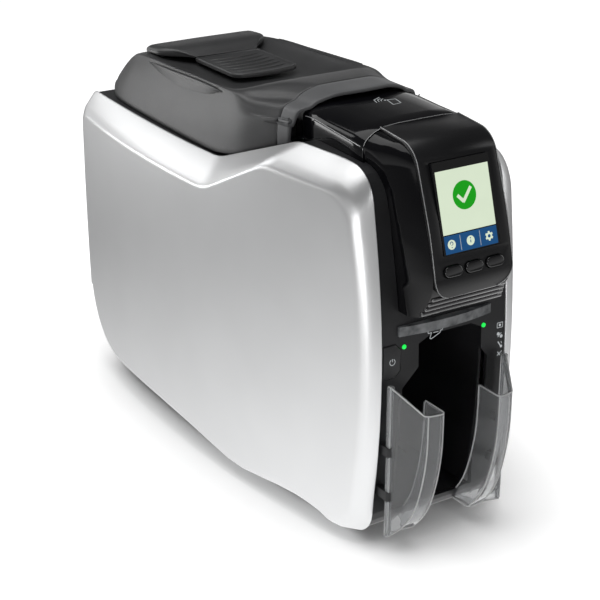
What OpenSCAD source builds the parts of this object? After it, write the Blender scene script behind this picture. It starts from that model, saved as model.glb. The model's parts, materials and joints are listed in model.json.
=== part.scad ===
// Desktop printer for plastic identity cards.
// The front faces -Y and the feet stand on z = 0. All sizes are in millimetres.

/* [Side panels] */
// Half width over the widest point of the side panels
half_w = 79; // [77:0.5:81]
// Half width of a side panel at its front crease
front_half_w = 56.5; // [55:0.5:59]
// Half width between the panels at the front frame
frame_half_w = 46; // [45:0.5:47]
// Distance from the middle of the part to the rear crease
rear_y = 190; // [186:1:194]
// Distance from the middle of the part to the front crease
front_y = 162; // [160:0.5:164]
// Where along the depth the panels are widest
widest_y = 46; // [36:1:56]
// Height of the level rear top, at the panel's inner edge
rear_top_z = 213; // [211:0.5:215]
// Height of the level front top, at the panel's inner edge
front_top_z = 242.5; // [240:0.5:244]
// Height of the panel's lower edge
panel_low_z = 4; // [3.5:0.5:6]
// Width of the bevel along the top of a panel
bevel_w = 15; // [13:0.5:16]
// Fall of the bevel along the top of a panel
bevel_h = 15; // [12:0.5:18]
// Wall of the moulded panels and covers
wall = 2.4; // [1.8:0.2:3]

/* [Lid] */
// Half width of the lid at its seam
lid_half_w = 59.5; // [58:0.5:60]
// Gap between the lid and the deck under it
lid_seam_rise = 0.6; // [0.4:0.1:1.2]
// Overall height, at the top of the lid's front arch
lid_top_z = 265; // [264:0.5:267]
// Height of the lid's shoulders
shoulder_z = 254; // [252:0.5:256]
// Height of the scooped floor round the release button
scoop_z = 245.5; // [244:0.5:246.5]
// Widest opening angle of the lid
lid_open_deg = 75; // [45:5:80]
// Radius of the lid's hinge pins
hinge_pin_r = 2.5; // [2:0.25:3]

/* [Release button] */
// Half width of the release button
button_half_w = 25; // [22:0.5:27]
// Length of the release button that shows
button_len = 57; // [50:1:60]
// Thickness of the release button
button_t = 3.4; // [3:0.2:4]
// Number of grip ribs on the release button
rib_count = 6; // [4:1:8]

/* [Display head] */
// Half width of the display face
face_half_w = 28; // [26:0.5:30]
// Half width of the display head where it meets the front frame
head_half_w = 35; // [33:0.5:37]
// Half width of the crowned cover behind the display
cover_half_w = 40; // [38:0.5:41]
// Width of the screen glass
screen_w = 40.5; // [38:0.5:44]
// Height of the screen glass
screen_h = 53; // [50:0.5:56]
// Width of a key
key_w = 12.6; // [10:0.2:13.4]
// Height of a key
key_h = 6.4; // [5:0.2:7]
// Distance between neighbouring keys
key_pitch = 15; // [14.6:0.2:15.6]
// Gap round the keys and buttons
key_gap = 0.35; // [0.3:0.05:0.5]

/* [Card bin] */
// Width of a card
card_w = 54; // [53:0.5:55]
// Length of a card
card_len = 86; // [85:0.5:87]
// Height of the bin's floor
bin_floor_z = 20; // [18:0.5:22]
// Height of the bin's ceiling
bin_top_z = 136; // [134:0.5:138]
// Height of the upper card path
path_z = 128; // [126:0.5:130]

/* [Hopper wings] */
// Half width between the hinge lines of the two wings
wing_hinge_x = 42.5; // [42:0.25:43]
// Distance from the middle of the part to the wings' front
wing_front_y = 194; // [191:0.5:196]
// Half width of the finger gap between the wings
finger_half_w = 20; // [17:0.5:22]
// Height of the wings' front edge
wing_top_z = 100; // [96:0.5:104]
// Height of the wings' lower edge
wing_low_z = 12; // [11:0.5:14]
// Wall of the clear wings
wing_wall = 1.8; // [1.4:0.1:2.4]
// Radius of the wings' hinge pins
wing_pin_r = 0.8; // [0.7:0.05:1]

/* [Mechanism] */
// Half distance between the inner faces of the frame plates
plate_half_w = 41; // [40:0.5:42]
// Thickness of the steel frame plates
plate_t = 1.6; // [1.2:0.1:2]
// Radius of the roller shafts
shaft_r = 3; // [2.5:0.25:3.5]
// Radius of the platen and exit rollers
roller_r = 8; // [7:0.5:8.5]
// Radius of the card feed roller
feed_r = 5.5; // [5:0.25:6]
// Module of the gear teeth
gear_module = 1; // [1:1:1]
// Teeth of the motor pinion
pinion_teeth = 12; // [12:1:12]
// Teeth of the platen gear
platen_teeth = 32; // [32:1:32]
// Teeth of the idler gear
idler_teeth = 60; // [60:1:60]
// Teeth of the exit roller's gear
exit_teeth = 20; // [20:1:20]
// Face width of the gears
gear_w = 4; // [3:0.5:5]
// Radial running clearance of the shafts
run_gap = 0.05; // [0.03:0.01:0.08]

/* [Hidden] */
$fn = 48;

SILVER = "#c9cbcc";
BLACK = "#1b1c1d";
DARK = "#2e3032";
ARCH = "#5b5d5f";
CLEAR = [0.75, 0.78, 0.8, 0.5];
STEEL = "#9a9ea2";
RUBBER = "#26272a";
GEAR_WHITE = "#e6e4dc";

bulge = (half_w - front_half_w) / pow(front_y - 2 + widest_y, 2);
seam_gap = 0.4;
arc_steps = 5;
frame_inset = 1.5;
front_bow = 0.00095;
// Depth of the bowed front edge at height z
function front_curve(z) = -(front_y + 4) + front_bow * pow(z - 112, 2);

// Outer half width of a side panel at depth y
function face_x(y) = half_w - bulge * pow(y - widest_y, 2);
// Half width of a side panel's inner edge at depth y
function edge_x(y) = max(frame_half_w, half_w - bevel_w - 1
    - (y > 60 ? 2.8e-4 : 5.1e-4) * pow(y - 60, 2));
function held(v, a, b) = max(a, min(b, v));
// Rise of a panel's lower crease at depth y, from its lowest point under the ramp
function sill(y) = 11.5 * sin(90 * held((y + 38) / 118, 0, 1))
    + 3.2 * (1 + cos(180 * held((y + 95) / 58, -1, 1)));
function unit(v) = v / norm(v);

// Points of the arc of radius r that rounds the corner b between a and c
function corner(a, b, c, r) =
    let (u = unit(a - b), v = unit(c - b), half = acos(u * v) / 2,
        p = b + u * r / tan(half), q = b + v * r / tan(half),
        m = b + unit(u + v) * r / sin(half),
        start = atan2(p.y - m.y, p.x - m.x),
        turn = (atan2(q.y - m.y, q.x - m.x) - start + 540) % 360 - 180)
    [for (i = [0:arc_steps]) let (t = start + turn * i / arc_steps) m + r * [cos(t), sin(t)]];

// Closed outline through corners [across, up, radius]
function outline(v) =
    [for (i = [0:len(v) - 1])
        let (a = v[(i + len(v) - 1) % len(v)], b = v[i], c = v[(i + 1) % len(v)])
        each corner([a.x, a.y], [b.x, b.y], [c.x, c.y], b.z)];

// The outline moved inwards by d along its own normals
function inset(pts, d) =
    [for (i = [0:len(pts) - 1])
        let (n = len(pts), t = unit(pts[(i + 1) % n] - pts[(i + n - 1) % n]))
        pts[i] + d * [-t.y, t.x]];

ramp_y = [-4, -86];
high_z = front_top_z + 1;
// Side view of a line round a panel, as [depth, height] points: its rear, level rear top,
// ramp ends, front top, distance behind the bowed front edge, bottom and its wave
function side_line(rear, top, ramp, high, nose, low, wave) = concat(
    corner([rear, 150], [rear, top], [0, top], 10),
    corner([100, top], [ramp[0], top], [ramp[1], high], 45),
    corner([ramp[0], top], [ramp[1], high], [-150, high - 2], 30),
    corner([ramp[1], high], [front_curve(high - 17) + nose + 2, high - 2],
        [front_curve(high - 32) + nose, high - 32], 22),
    [for (i = [0:10]) let (z = high - 44 - i * (high - 80) / 10) [front_curve(z) + nose, z]],
    corner([front_curve(40) + nose, 40], [5 - front_y + nose, low], [0, low], 20),
    [for (y = [-128:16:128]) [y, low + wave * sill(y)]],
    corner([0, low + wave * sill(130)], [rear - 11, low + wave * sill(130)], [rear - 1, 70], 50),
    [for (z = [60:30:150]) [rear + 1.5 - 0.0004 * pow(z - 125, 2), z]]);
edge_plain = side_line(rear_y - 3, rear_top_z, ramp_y, high_z, 0, panel_low_z, 0);
// The outline with its long runs cut into steps, where the matching line has long runs
function dense(pts, like) =
    [for (i = [0:len(pts) - 1]) let (j = (i + 1) % len(pts), n = ceil(norm(like[j] - like[i]) / 15))
        each [for (k = [0:n - 1]) pts[i] + (pts[j] - pts[i]) * k / n]];
edge_outline = dense(edge_plain, edge_plain);
// The crease between the bevel and the flat of a panel
crease_outline = dense(side_line(rear_y, rear_top_z - bevel_h, ramp_y - [6, 11],
    high_z - bevel_h + 2.5, 4.5, panel_low_z + 5.3, 1), edge_plain);

// Closed solid through a row of rings that have equal numbers of points. The ends of a
// thin open arch are closed by strips between its outer and inner lines.
module loft(rings, strips = false) {
    n = len(rings[0]);
    m = len(rings);
    points = [for (ring = rings) each ring];
    sides = [for (i = [0:m - 2], j = [0:n - 1]) let (k = (j + 1) % n)
        each [[i * n + j, i * n + k, (i + 1) * n + k],
            [i * n + j, (i + 1) * n + k, (i + 1) * n + j]]];
    e = (m - 1) * n;
    caps = strips
        ? [for (i = [0:n / 2 - 2]) let (a = n / 2 - 1 - i, b = n / 2 + i) each [[a, b + 1, b],
            [a, a - 1, b + 1], [e + a, e + b, e + b + 1], [e + a, e + b + 1, e + a - 1]]]
        : [[for (j = [n - 1:-1:0]) j], [for (j = [0:n - 1]) e + j]];
    polyhedron(points, concat(sides, caps));
}

// Extrude a [depth, height] shape along X over a width w centred on x
module across(w, x = 0)
    translate([x - w / 2, 0, 0]) rotate([90, 0, 90]) linear_extrude(w) children();

// ---------------------------------------------------------------- side panels
panel_centre = [5, 112];
function ring_at(pts, inner) = [for (p = pts) [face_x(p.x) - inner, p.x, p.y]];
function shrunk(pts, k) = [for (p = pts) panel_centre + (p - panel_centre) * k];
function rim(pts) = [for (p = pts) [edge_x(p.x), p.x, p.y]];

function between(a, b, t) = [for (i = [0:len(a) - 1]) a[i] * (1 - t) + b[i] * t];
// Three rings that round the corner between ring b and its neighbours a and c
function eased(a, b, c, t) = let (p = between(b, a, t), q = between(b, c, t))
    [p, between(between(p, b, 0.5), between(b, q, 0.5), 0.5), q];
module side_panel() {
    skin_in = inset(crease_outline, wall);
    rim_in = inset(edge_outline, wall);
    face_steps = [0.8, 0.52, 0.26, 0.05];
    low = rim(rim_in);
    top = rim(edge_outline);
    crease = ring_at(crease_outline, 0);
    flat = ring_at(shrunk(crease_outline, 0.97), 0);
    color(SILVER) loft(concat(
        [for (k = [3:-1:0]) ring_at(shrunk(skin_in, face_steps[k]), wall)],
        [ring_at(skin_in, wall), low], eased(low, top, crease, 0.14),
        eased(top, crease, flat, 0.1), [flat],
        [for (k = [0:3]) ring_at(shrunk(crease_outline, face_steps[k]), 0)]));
}
module right_side_panel() side_panel();
module left_side_panel() mirror([1, 0, 0]) side_panel();

// ---------------------------------------------------------------- black body
// Plan of the space between the side panels
module plan_between(gap, h = 300) {
    ys = [for (y = [-170:20:190]) y];
    linear_extrude(h) polygon(concat(
        [for (y = ys) [edge_x(y) - gap, y]],
        [for (i = [len(ys) - 1:-1:0]) [gap - edge_x(ys[i]), ys[i]]]));
}
// Band of the body's skin, seen from the side
module skin_band() difference() {
    polygon(inset(edge_outline, frame_inset));
    polygon(inset(edge_outline, frame_inset + wall));
}
// Piece of the body's skin inside a box of depths and heights
module body_skin(y0, y1, z0, z1) intersection() {
    across(170) intersection() {
        skin_band();
        translate([y0, z0]) square([y1 - y0, z1 - z0]);
    }
    plan_between(seam_gap);
}

floor_top_z = panel_low_z + frame_inset + wall;
board_lift = 4;
board_posts = [[-34, 18], [26, 124]];
bezel_top_y = -64;
head_low_z = lid_top_z - 108.5;
function deck_z(y) = rear_top_z - frame_inset
    + max(0, ramp_y[0] - y) * (high_z - rear_top_z) / (ramp_y[0] - ramp_y[1]);
deck_low_z = 188;
base_high_z = 30;

// Tray that carries the frame plates, motors and board
module base_tray() color(DARK) {
    difference() {
        body_skin(-200, 200, 0, base_high_z);
        translate([-60, -200, 0]) cube([120, 60, base_high_z + 1]);
    }
    for (s = [-1, 1])
        translate([s * (plate_half_w + plate_t + 1.3) - 1, -60, floor_top_z - 1]) cube([2, 190, 7]);
    for (x = board_posts.x, y = board_posts.y) translate([x, y, floor_top_z - 1])
        cylinder(r = 2.5, h = board_lift + 1);
}
module rubber_feet() color(RUBBER)
    for (x = [-38, 38], y = [-118, 135]) {
        translate([x, y, 0]) cylinder(r = 8, h = 1.5);
        translate([x, y, 1.5]) cylinder(r = 7, h = panel_low_z + frame_inset - 1.5);
    }

// Opening of the card bin in the front frame, seen from the front
jamb_half_w = card_w / 2 + 6;
module bin_mouth() polygon([[-19, bin_top_z - 3], [-19, path_z - 10], [-jamb_half_w, path_z - 24],
    [-jamb_half_w, bin_floor_z], [jamb_half_w, bin_floor_z], [jamb_half_w, path_z - 15],
    [28, path_z - 9], [28, bin_top_z - 3], [20, bin_top_z + 1], [-10, bin_top_z + 1]]);

power_x = -38.5;
power_z = 126;
power_w = 12.4;
power_h = 21;
power_cut = 4;
// Eight-sided outline of the power button, grown by g
module power_outline(g = 0) {
    w = power_w / 2 + g;
    h = power_h / 2 + g;
    c = power_cut + g * 0.59;
    polygon([[-w, h], [w - c, h], [w, h - c], [w, c - h], [w - c, -h], [-w, -h]]);
}
function front_skin_y(z) = front_curve(z) + frame_inset;
light_z = head_low_z - 12.5;
light_h = 6;
light_half_w = 34;
led_x = 29.6;
led_z = light_z - 10.5;
lug_heights = [[37, 43], [67, 73]];
wing_axis_y = -(front_y + 7.5);
lug_r = 2.2;

module front_frame() color(DARK) {
    difference() {
        union() {
            body_skin(-200, bezel_top_y, base_high_z, 250);
            intersection() {
                body_skin(-200, -140, 0, base_high_z);
                translate([-60, -200, 0]) cube([120, 60, base_high_z]);
            }
        }
        translate([0, -140, 0]) rotate([90, 0, 0]) linear_extrude(60) bin_mouth();
        translate([power_x, -140, power_z]) rotate([90, 0, 0])
            linear_extrude(60) power_outline(key_gap);
        translate([-light_half_w - 0.2, -190, light_z - light_h / 2 - 0.2])
            cube([2 * light_half_w + 0.4, 50, light_h + 0.4]);
        for (x = [-led_x, led_x]) translate([x, -140, led_z]) rotate([90, 0, 0])
            cylinder(r = 1.6, h = 60);
        // Seat of the display head, and of the cover behind it
        translate([0, -130, 0]) rotate([90, 0, 0]) linear_extrude(60) polygon(head_front(0.3));
        translate([-cover_half_w - 0.3, face_top_y - 1, 200]) cube([2 * cover_half_w + 0.6, 80, 60]);
    }
    for (s = [-1, 1], z = lug_heights) hinge_lug(s * wing_hinge_x, z);
}
// Lug that carries a wing's pin, standing out of the front frame
module hinge_lug(x, z) difference() {
    union() {
        translate([x, wing_axis_y, z[0]]) cylinder(r = lug_r, h = z[1] - z[0]);
        translate([x - lug_r, wing_axis_y, z[0]])
            cube([2 * lug_r, -wing_axis_y + front_skin_y(z[0]) + 1, z[1] - z[0]]);
    }
    translate([x, wing_axis_y, z[0] - 1]) cylinder(r = wing_pin_r + run_gap, h = z[1] - z[0] + 2);
}

port_x = [-34, -14, 8];
inlet_w = 28;
inlet_h = 21;
inlet_x = 32;
port_z = 46;
module rear_panel() color(DARK) difference() {
    body_skin(100, 200, base_high_z, deck_low_z);
    translate([inlet_x - inlet_w / 2 - 0.3, 150, port_z - inlet_h / 2 - 0.3])
        cube([inlet_w + 0.6, 60, inlet_h + 0.6]);
    translate([port_x[0] - 8.3, 150, port_z - 7.3]) cube([16.6, 60, 14.6]);
    translate([port_x[1] - 6.3, 150, port_z - 6]) cube([12.6, 60, 12]);
    translate([port_x[2] - 5.5, 150, port_z - 5.5]) cube([11, 60, 11]);
    for (i = [0:8]) translate([-44 + i * 11 - 2, 150, 110]) cube([4, 60, 46]);
    translate([-50, 170, 165]) rotate([-90, 0, 0]) cylinder(r = 2, h = 40);
}

deck_open_half_w = 50;
deck_open_front_y = -46;
deck_open_rear_y = 172;
hinge_y = 177;
hinge_z = rear_top_z - 5;
lug_rad = 4.6;
module top_deck() color(BLACK) {
    difference() {
        body_skin(bezel_top_y, 200, deck_low_z, 250);
        translate([0, 0, 150]) linear_extrude(120) polygon([
            [-deck_open_half_w, deck_open_front_y], [deck_open_half_w, deck_open_front_y],
            [deck_open_half_w, deck_open_rear_y - 35], [deck_open_half_w - 9, deck_open_rear_y],
            [9 - deck_open_half_w, deck_open_rear_y],
            [-deck_open_half_w, deck_open_rear_y - 35]]);
        for (s = [-1, 1]) translate([s * 34 - 7, 150, 196]) cube([14, rear_y - 6 - 150, 60]);
    }
    // Hinge brackets behind the ribbon bay
    for (s = [-1, 1]) difference() {
        union() {
            across(6, s * 37) translate([hinge_y, hinge_z]) circle(r = lug_rad);
            across(6, s * 37) polygon([[hinge_y - lug_rad, hinge_z], [hinge_y + lug_rad, hinge_z],
                [rear_y - 4, hinge_z - 12], [rear_y - 4, hinge_z - 20]]);
        }
        translate([s * 37 - 5, hinge_y, hinge_z]) rotate([0, 90, 0])
            cylinder(r = hinge_pin_r + 0.02, h = 10);
    }
}

// ---------------------------------------------------------------- display head
face_top_y = -133;
face_z = lid_top_z - 44;
face_corners = [[face_top_y, lid_top_z - 5.5], [-166, lid_top_z - 8.5], [-184, face_z - 14],
    [-190.5, face_z - 42], [-188.5, face_z - 50.5], [-177, head_low_z]];
// Side view of the display face from the crown line to the chin, moved in by d
function face_line(d) =
    let (c = [for (p = face_corners) [p.x + (p.x < face_top_y ? d : 0), p.y + (p.y > face_z - 21 ? -d : d)]])
    concat([c[0]], corner(c[0], c[1], c[2], 18), corner(c[1], c[2], c[3], 200),
        corner(c[2], c[3], c[4], 20), [c[4]]);

face_t = 2.2;
knee_z = face_z + 10;
base_top_z = lid_top_z - 15.6;
// Half width and depth of the line where the head meets the front frame, at height z
function head_w(z) = z > knee_z
    ? head_half_w + 0.5 + (cover_half_w - head_half_w - 0.5) * min(1, (z - knee_z) / (base_top_z - knee_z))
    : head_half_w + (z > face_z - 21 ? (z - face_z + 21) / 62 : (z - face_z + 21) / 22);
function base_y(z) = z > knee_z
    ? front_skin_y(knee_z) - 0.8 + (face_top_y - front_skin_y(knee_z) + 0.8)
        * pow(min(1, (z - knee_z) / (base_top_z - knee_z)), 2.2)
    : front_skin_y(z) - 0.8 - 8 * max(0, face_z - 45 - z) / 19;
face_back = face_line(face_t);
// Heights of the face's points, and the depth of the head's back at each
face_rows = [for (i = [0:len(face_back)]) i == len(face_back) ? head_low_z
    : i == 0 ? (face_back[0].y + face_back[1].y) / 2 : face_back[i].y];
function head_back_y(z) = z > face_z + 4 ? face_top_y
    : -146 + (z - head_low_z) * (146 + face_top_y) / (face_z + 4 - head_low_z);
head_side = concat(face_back, [[face_corners[5].x, head_low_z]],
    [for (i = [len(face_back):-1:0]) [head_back_y(face_rows[i]), face_rows[i]]]);
// The head's side line drawn out to where it meets the frame
function head_foot(s) = [for (i = [0:len(head_side) - 1]) let (p = head_side[i],
    z = p.y > face_z ? face_z + (p.y - face_z) * (base_top_z - face_z) / (face_back[0].y - face_z) : p.y)
    [s * head_w(z), i <= len(face_back) ? base_y(z) : p.x, z]];
// Front view of the head where it meets the frame, grown by g
function head_front(g) = let (foot = head_foot(1))
    both_sides(concat([[head_w(head_low_z) + g, head_low_z - g]],
        [for (i = [len(face_back) - 1:-1:0]) [foot[i].x + g, foot[i].z]],
        [[cover_half_w + g, lid_top_z - 3], [0, lid_top_z - 3]]));
function head_ring(x) = [for (p = head_side) [x, p.x, p.y]];
// Swell of the chamfer's upper part between foot and face
function head_swell(s) = let (a = head_foot(s), b = head_ring(s * face_half_w))
    [for (i = [0:len(a) - 1]) let (k = i < len(face_back) ? held((b[i].z - face_z) / 30, 0, 1) : 0)
        (a[i] + b[i]) / 2 + k * [0, -1, 2]];
module head_housing() color(BLACK) difference() {
    loft([head_foot(-1), head_swell(-1), head_ring(-face_half_w), head_ring(-22), head_ring(22),
        head_ring(face_half_w), head_swell(1), head_foot(1)], true);
    on_face() translate([-24, -50, -15]) cube([48, 79, 30]);
}

// Tilted frame of the display face: x across, y up the face, z outwards
face_tilt = 90 - 16.6;
face_mid = [0, -179.6, face_z];
module on_face() translate(face_mid) rotate([face_tilt, 0, 0]) children();
key_row = -35.5;
key_outer = key_pitch;
screen_mid = 0.5;

module pill(w, h, t) linear_extrude(t) {
    square([w - h, h], center = true);
    for (s = [-1, 1]) translate([s * (w - h) / 2, 0]) circle(d = h);
}
chin_z = face_z - 51;
module display_face() color(BLACK) difference() {
    intersection() {
        across(2 * face_half_w) polygon(concat(face_line(0), [for (i = [len(face_line(0)) - 1:-1:0])
            face_line(face_t)[i]]));
        translate([0, -120, 0]) rotate([90, 0, 0]) linear_extrude(90) union() {
            translate([-face_half_w, chin_z + 14]) square([2 * face_half_w, 90]);
            translate([14 - face_half_w, chin_z]) square([2 * face_half_w - 28, 40]);
            for (s = [-1, 1]) translate([s * (face_half_w - 14), chin_z + 14]) circle(r = 14);
        }
    }
    on_face() translate([-screen_w / 2 - 0.2, screen_mid - screen_h / 2 - 0.2, -6])
        cube([screen_w + 0.4, screen_h + 0.4, 12]);
    on_face() for (i = [-1, 0, 1]) translate([i * key_pitch, key_row, -8])
        pill(key_w + 2 * key_gap, key_h + 2 * key_gap, 16);
}
module display_screen() color("#e9f0dc") on_face()
    translate([-screen_w / 2, screen_mid - screen_h / 2, -5.4]) cube([screen_w, screen_h, 5.2]);
module display_board() color("#1d5c3a") on_face()
    translate([-20, -43, -7.7]) cube([40, 67, 1.6]);
module face_key(i) color(BLACK) on_face() translate([i * key_pitch, key_row, 0]) {
    translate([0, 0, -2.6]) pill(key_w, key_h, 3);
    translate([0, 0, -5.3]) cylinder(r = 1.8, h = 2.8);
}
module left_key() face_key(-1);
module middle_key() face_key(0);
module right_key() face_key(1);

// Cross-section of the crowned cover at depth y: its sides are upright, its edges fall
// towards the display
function cover_section(y, low = lid_top_z - 34) =
    let (k = pow(held((y + 84) / 18, 0, 1), 1.5), w = cover_half_w - 1.8 * k,
        e = lid_top_z - 10.4 + (y + 74) * 0.088 - 3.4 * k, rise = lid_top_z - 5.1 - 0.8 * k - e)
    [[w, low], [w, e], [w - 3.6, e + rise * 0.4], [w - 8, e + rise * 0.72],
        [w - 15, e + rise * 0.96], [0, e + rise]];
function both_sides(half) = concat(half, [for (i = [len(half) - 2:-1:0]) [-half[i].x, half[i].y]]);
// Cross-section of a thin open arch: the outer line, then the same line moved in by t
function arch_ring(line, t) =
    let (n = len(line),
        mid = [for (i = [0:n - 1])
            let (d = unit(line[min(i + 1, n - 1)] - line[max(i - 1, 0)]))
            [line[i].x - t * d.y, (i == 0 || i == n - 1) ? line[i].y : line[i].y + t * d.x]])
    concat([for (i = [n - 1:-1:0]) mid[i]], line);
function placed(ring, ys) = [for (i = [0:len(ring) - 1]) [ring[i].x, ys[i], ring[i].y]];
function same(n, v) = [for (i = [1:n]) v];

module head_cover() color(BLACK) loft([for (y = [-66, -72, -78, -84, -102, face_top_y + 0.3])
    let (ring = arch_ring(both_sides(cover_section(y)), wall))
    placed([for (p = ring) [p.x, p.y - (p.y > lid_top_z - 20 && y < -120 ? 0.5 : 0)]],
        same(len(ring), y))],
    true);

module power_button() color(DARK) translate([power_x, front_skin_y(power_z), power_z])
    rotate([90, 0, 0]) {
        translate([0, 0, -3]) linear_extrude(3.6) power_outline();
        translate([-1, 0, -6.5]) cylinder(r = 2, h = 4);
    }
module light_bar() color([0.6, 0.62, 0.64, 0.8]) {
    y = front_skin_y(light_z);
    translate([0, 0, light_z - light_h / 2]) linear_extrude(light_h) polygon(concat(
        [for (x = [-light_half_w:4:light_half_w])
            [x, y - 1.2 - 3.4 * (1 - pow(x / light_half_w, 2))]],
        [[light_half_w, y + 4], [-light_half_w, y + 4]]));
}
module status_leds() color("#35e06a")
    for (x = [-led_x, led_x]) translate([x, front_skin_y(led_z) + wall, led_z]) rotate([90, 0, 0]) {
        cylinder(r = 1.4, h = wall + 0.3);
        translate([0, 0, wall + 0.3]) intersection() {
            translate([0, 0, -1]) sphere(r = 1.72);
            cylinder(r = 1.4, h = 1);
        }
    }

// ---------------------------------------------------------------- card bin
bin_half_w = card_w / 2 + 1.5;
bin_wall = 2;
bin_front_y = -front_y;
bin_back_y = bin_front_y + card_len + 2;
module card_bin() color(BLACK) difference() {
    across(2 * (bin_half_w + bin_wall)) polygon(concat(
        [for (i = [0:10]) let (z = bin_floor_z - bin_wall + i * (bin_top_z - bin_floor_z + 4) / 10)
            [front_skin_y(z) + wall + 0.4, z]],
        [[bin_back_y + bin_wall, bin_top_z + bin_wall],
            [bin_back_y + bin_wall, bin_floor_z - bin_wall]]));
    translate([-bin_half_w, bin_front_y - 1, bin_floor_z])
        cube([2 * bin_half_w, bin_back_y - bin_front_y + 1, bin_top_z - bin_floor_z]);
    // Slot where a card is drawn off the bottom of the stack, and the exit slot above
    translate([-bin_half_w, bin_back_y - 1, bin_floor_z]) cube([2 * bin_half_w, 5, 2]);
    translate([-bin_half_w, bin_back_y - 1, path_z - 2.5]) cube([2 * bin_half_w, 5, 5]);
    // Groove for the feed roller's shaft, and windows for its two tyres
    translate([-50, feed_y, feed_z]) rotate([0, 90, 0]) cylinder(r = shaft_r + 0.5, h = 100);
    for (s = [-1, 1]) translate([s * 14 - 8, feed_y - feed_r - 1, bin_floor_z - 3])
        cube([16, 2 * feed_r + 2, 4]);
}

// ---------------------------------------------------------------- hopper wings
wing_rear_top_z = wing_top_z + 13;
// Side view of a wing, moved in by d
module wing_side(d) polygon([for (p = outline([
    [-150, wing_low_z + d, 1], [-150, 150, 1], [-(wing_front_y - d), 150, 1],
    [-(wing_front_y - d), 86, 90], [-(wing_front_y - 9 - d), 36, 40],
    [-(wing_front_y - 22), wing_low_z + d, 8]])) p]);
// Plan of a right wing, moved in by d
module wing_plan(d) polygon([
    [wing_hinge_x + 1.2 - d, wing_axis_y - 0.5], [31.5 - d * 0.9, -wing_front_y + 1.6 + d],
    [finger_half_w + d, -wing_front_y + d], [finger_half_w + d, -150],
    [wing_hinge_x + 1.2 - d, -150]]);
module wing_body(d) intersection() {
    translate([0, 0, 5]) linear_extrude(110) wing_plan(d);
    across(120) wing_side(d);
}
module hopper_wing() color(CLEAR) difference() {
    union() {
        difference() {
            wing_body(0);
            wing_body(wing_wall);
            // Clear of everything behind the hinge line
            translate([0, wing_axis_y + 1.2, 0]) cube([60, 40, 130]);
            // Straight back edge of the inner wall
            across(9, finger_half_w + 1) polygon([[-(wing_front_y - 21), 5], [-(wing_front_y - 11), 120],
                [-140, 120], [-140, 5]]);
            // Stepped top edge
            across(120) polygon([[wing_axis_y - 3, wing_rear_top_z], [wing_axis_y - 13, wing_top_z],
                [-210, wing_top_z], [-210, 140], [-100, 140], [-100, wing_rear_top_z]]);
        }
        translate([wing_hinge_x, wing_axis_y, wing_low_z + 1])
            cylinder(r = lug_r, h = wing_rear_top_z - wing_low_z - 1);
        // Floor of the wing, with a rounded lobe into the finger gap
        intersection() {
            translate([0, 0, wing_low_z]) linear_extrude(wing_wall) union() {
                translate([finger_half_w + 1, -(wing_front_y - 27)]) circle(r = 8);
                polygon([[finger_half_w - 7, -(wing_front_y - 27)],
                    [finger_half_w + 1, -(wing_front_y - 19)],
                    [36, wing_axis_y - 6], [40, wing_axis_y + 1.2], [finger_half_w - 4, wing_axis_y + 5]]);
            }
            across(120) wing_side(0);
        }
    }
    for (z = lug_heights) translate([wing_hinge_x - 4, wing_axis_y - 3.4, z[0] - 0.4])
        cube([8, 8, z[1] - z[0] + 0.8]);
    translate([wing_hinge_x, wing_axis_y, 0]) cylinder(r = wing_pin_r + run_gap, h = 130);
}
module right_hopper_wing() hopper_wing();
module left_hopper_wing() mirror([1, 0, 0]) hopper_wing();
module wing_hinge_pins() color(STEEL)
    for (s = [-1, 1]) translate([s * wing_hinge_x, wing_axis_y, 30])
        cylinder(r = wing_pin_r, h = 50);

// ---------------------------------------------------------------- lid
// One station of the lid: depth, seam half width, seam height, shoulder half width,
// shoulder height, roll of the shoulder, floor half width, height in the middle
function seam_z(y) = deck_z(y) + lid_seam_rise;
function lid_line(s) = both_sides([
    [s[1], s[2]],
    [s[1] * 0.62 + s[3] * 0.38 + 0.8, s[2] * 0.66 + s[4] * 0.34],
    [s[1] * 0.28 + s[3] * 0.72 + 0.8, s[2] * 0.33 + s[4] * 0.67],
    [s[3], s[4] - s[5]],
    [s[3] - s[5] * 0.35, s[4] - s[5] * 0.2],
    [s[3] - s[5] - 1.2, s[4] + (s[7] - s[4]) * 0.12],
    [(s[3] - s[5]) * 0.62 + s[6] * 0.38, s[4] + (s[7] - s[4]) * 0.55],
    [s[6], s[4] + (s[7] - s[4]) * 0.94],
    [s[6] * 0.5, s[7]],
    [0, s[7]]]);
lw = lid_half_w;
sz = shoulder_z;
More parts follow.
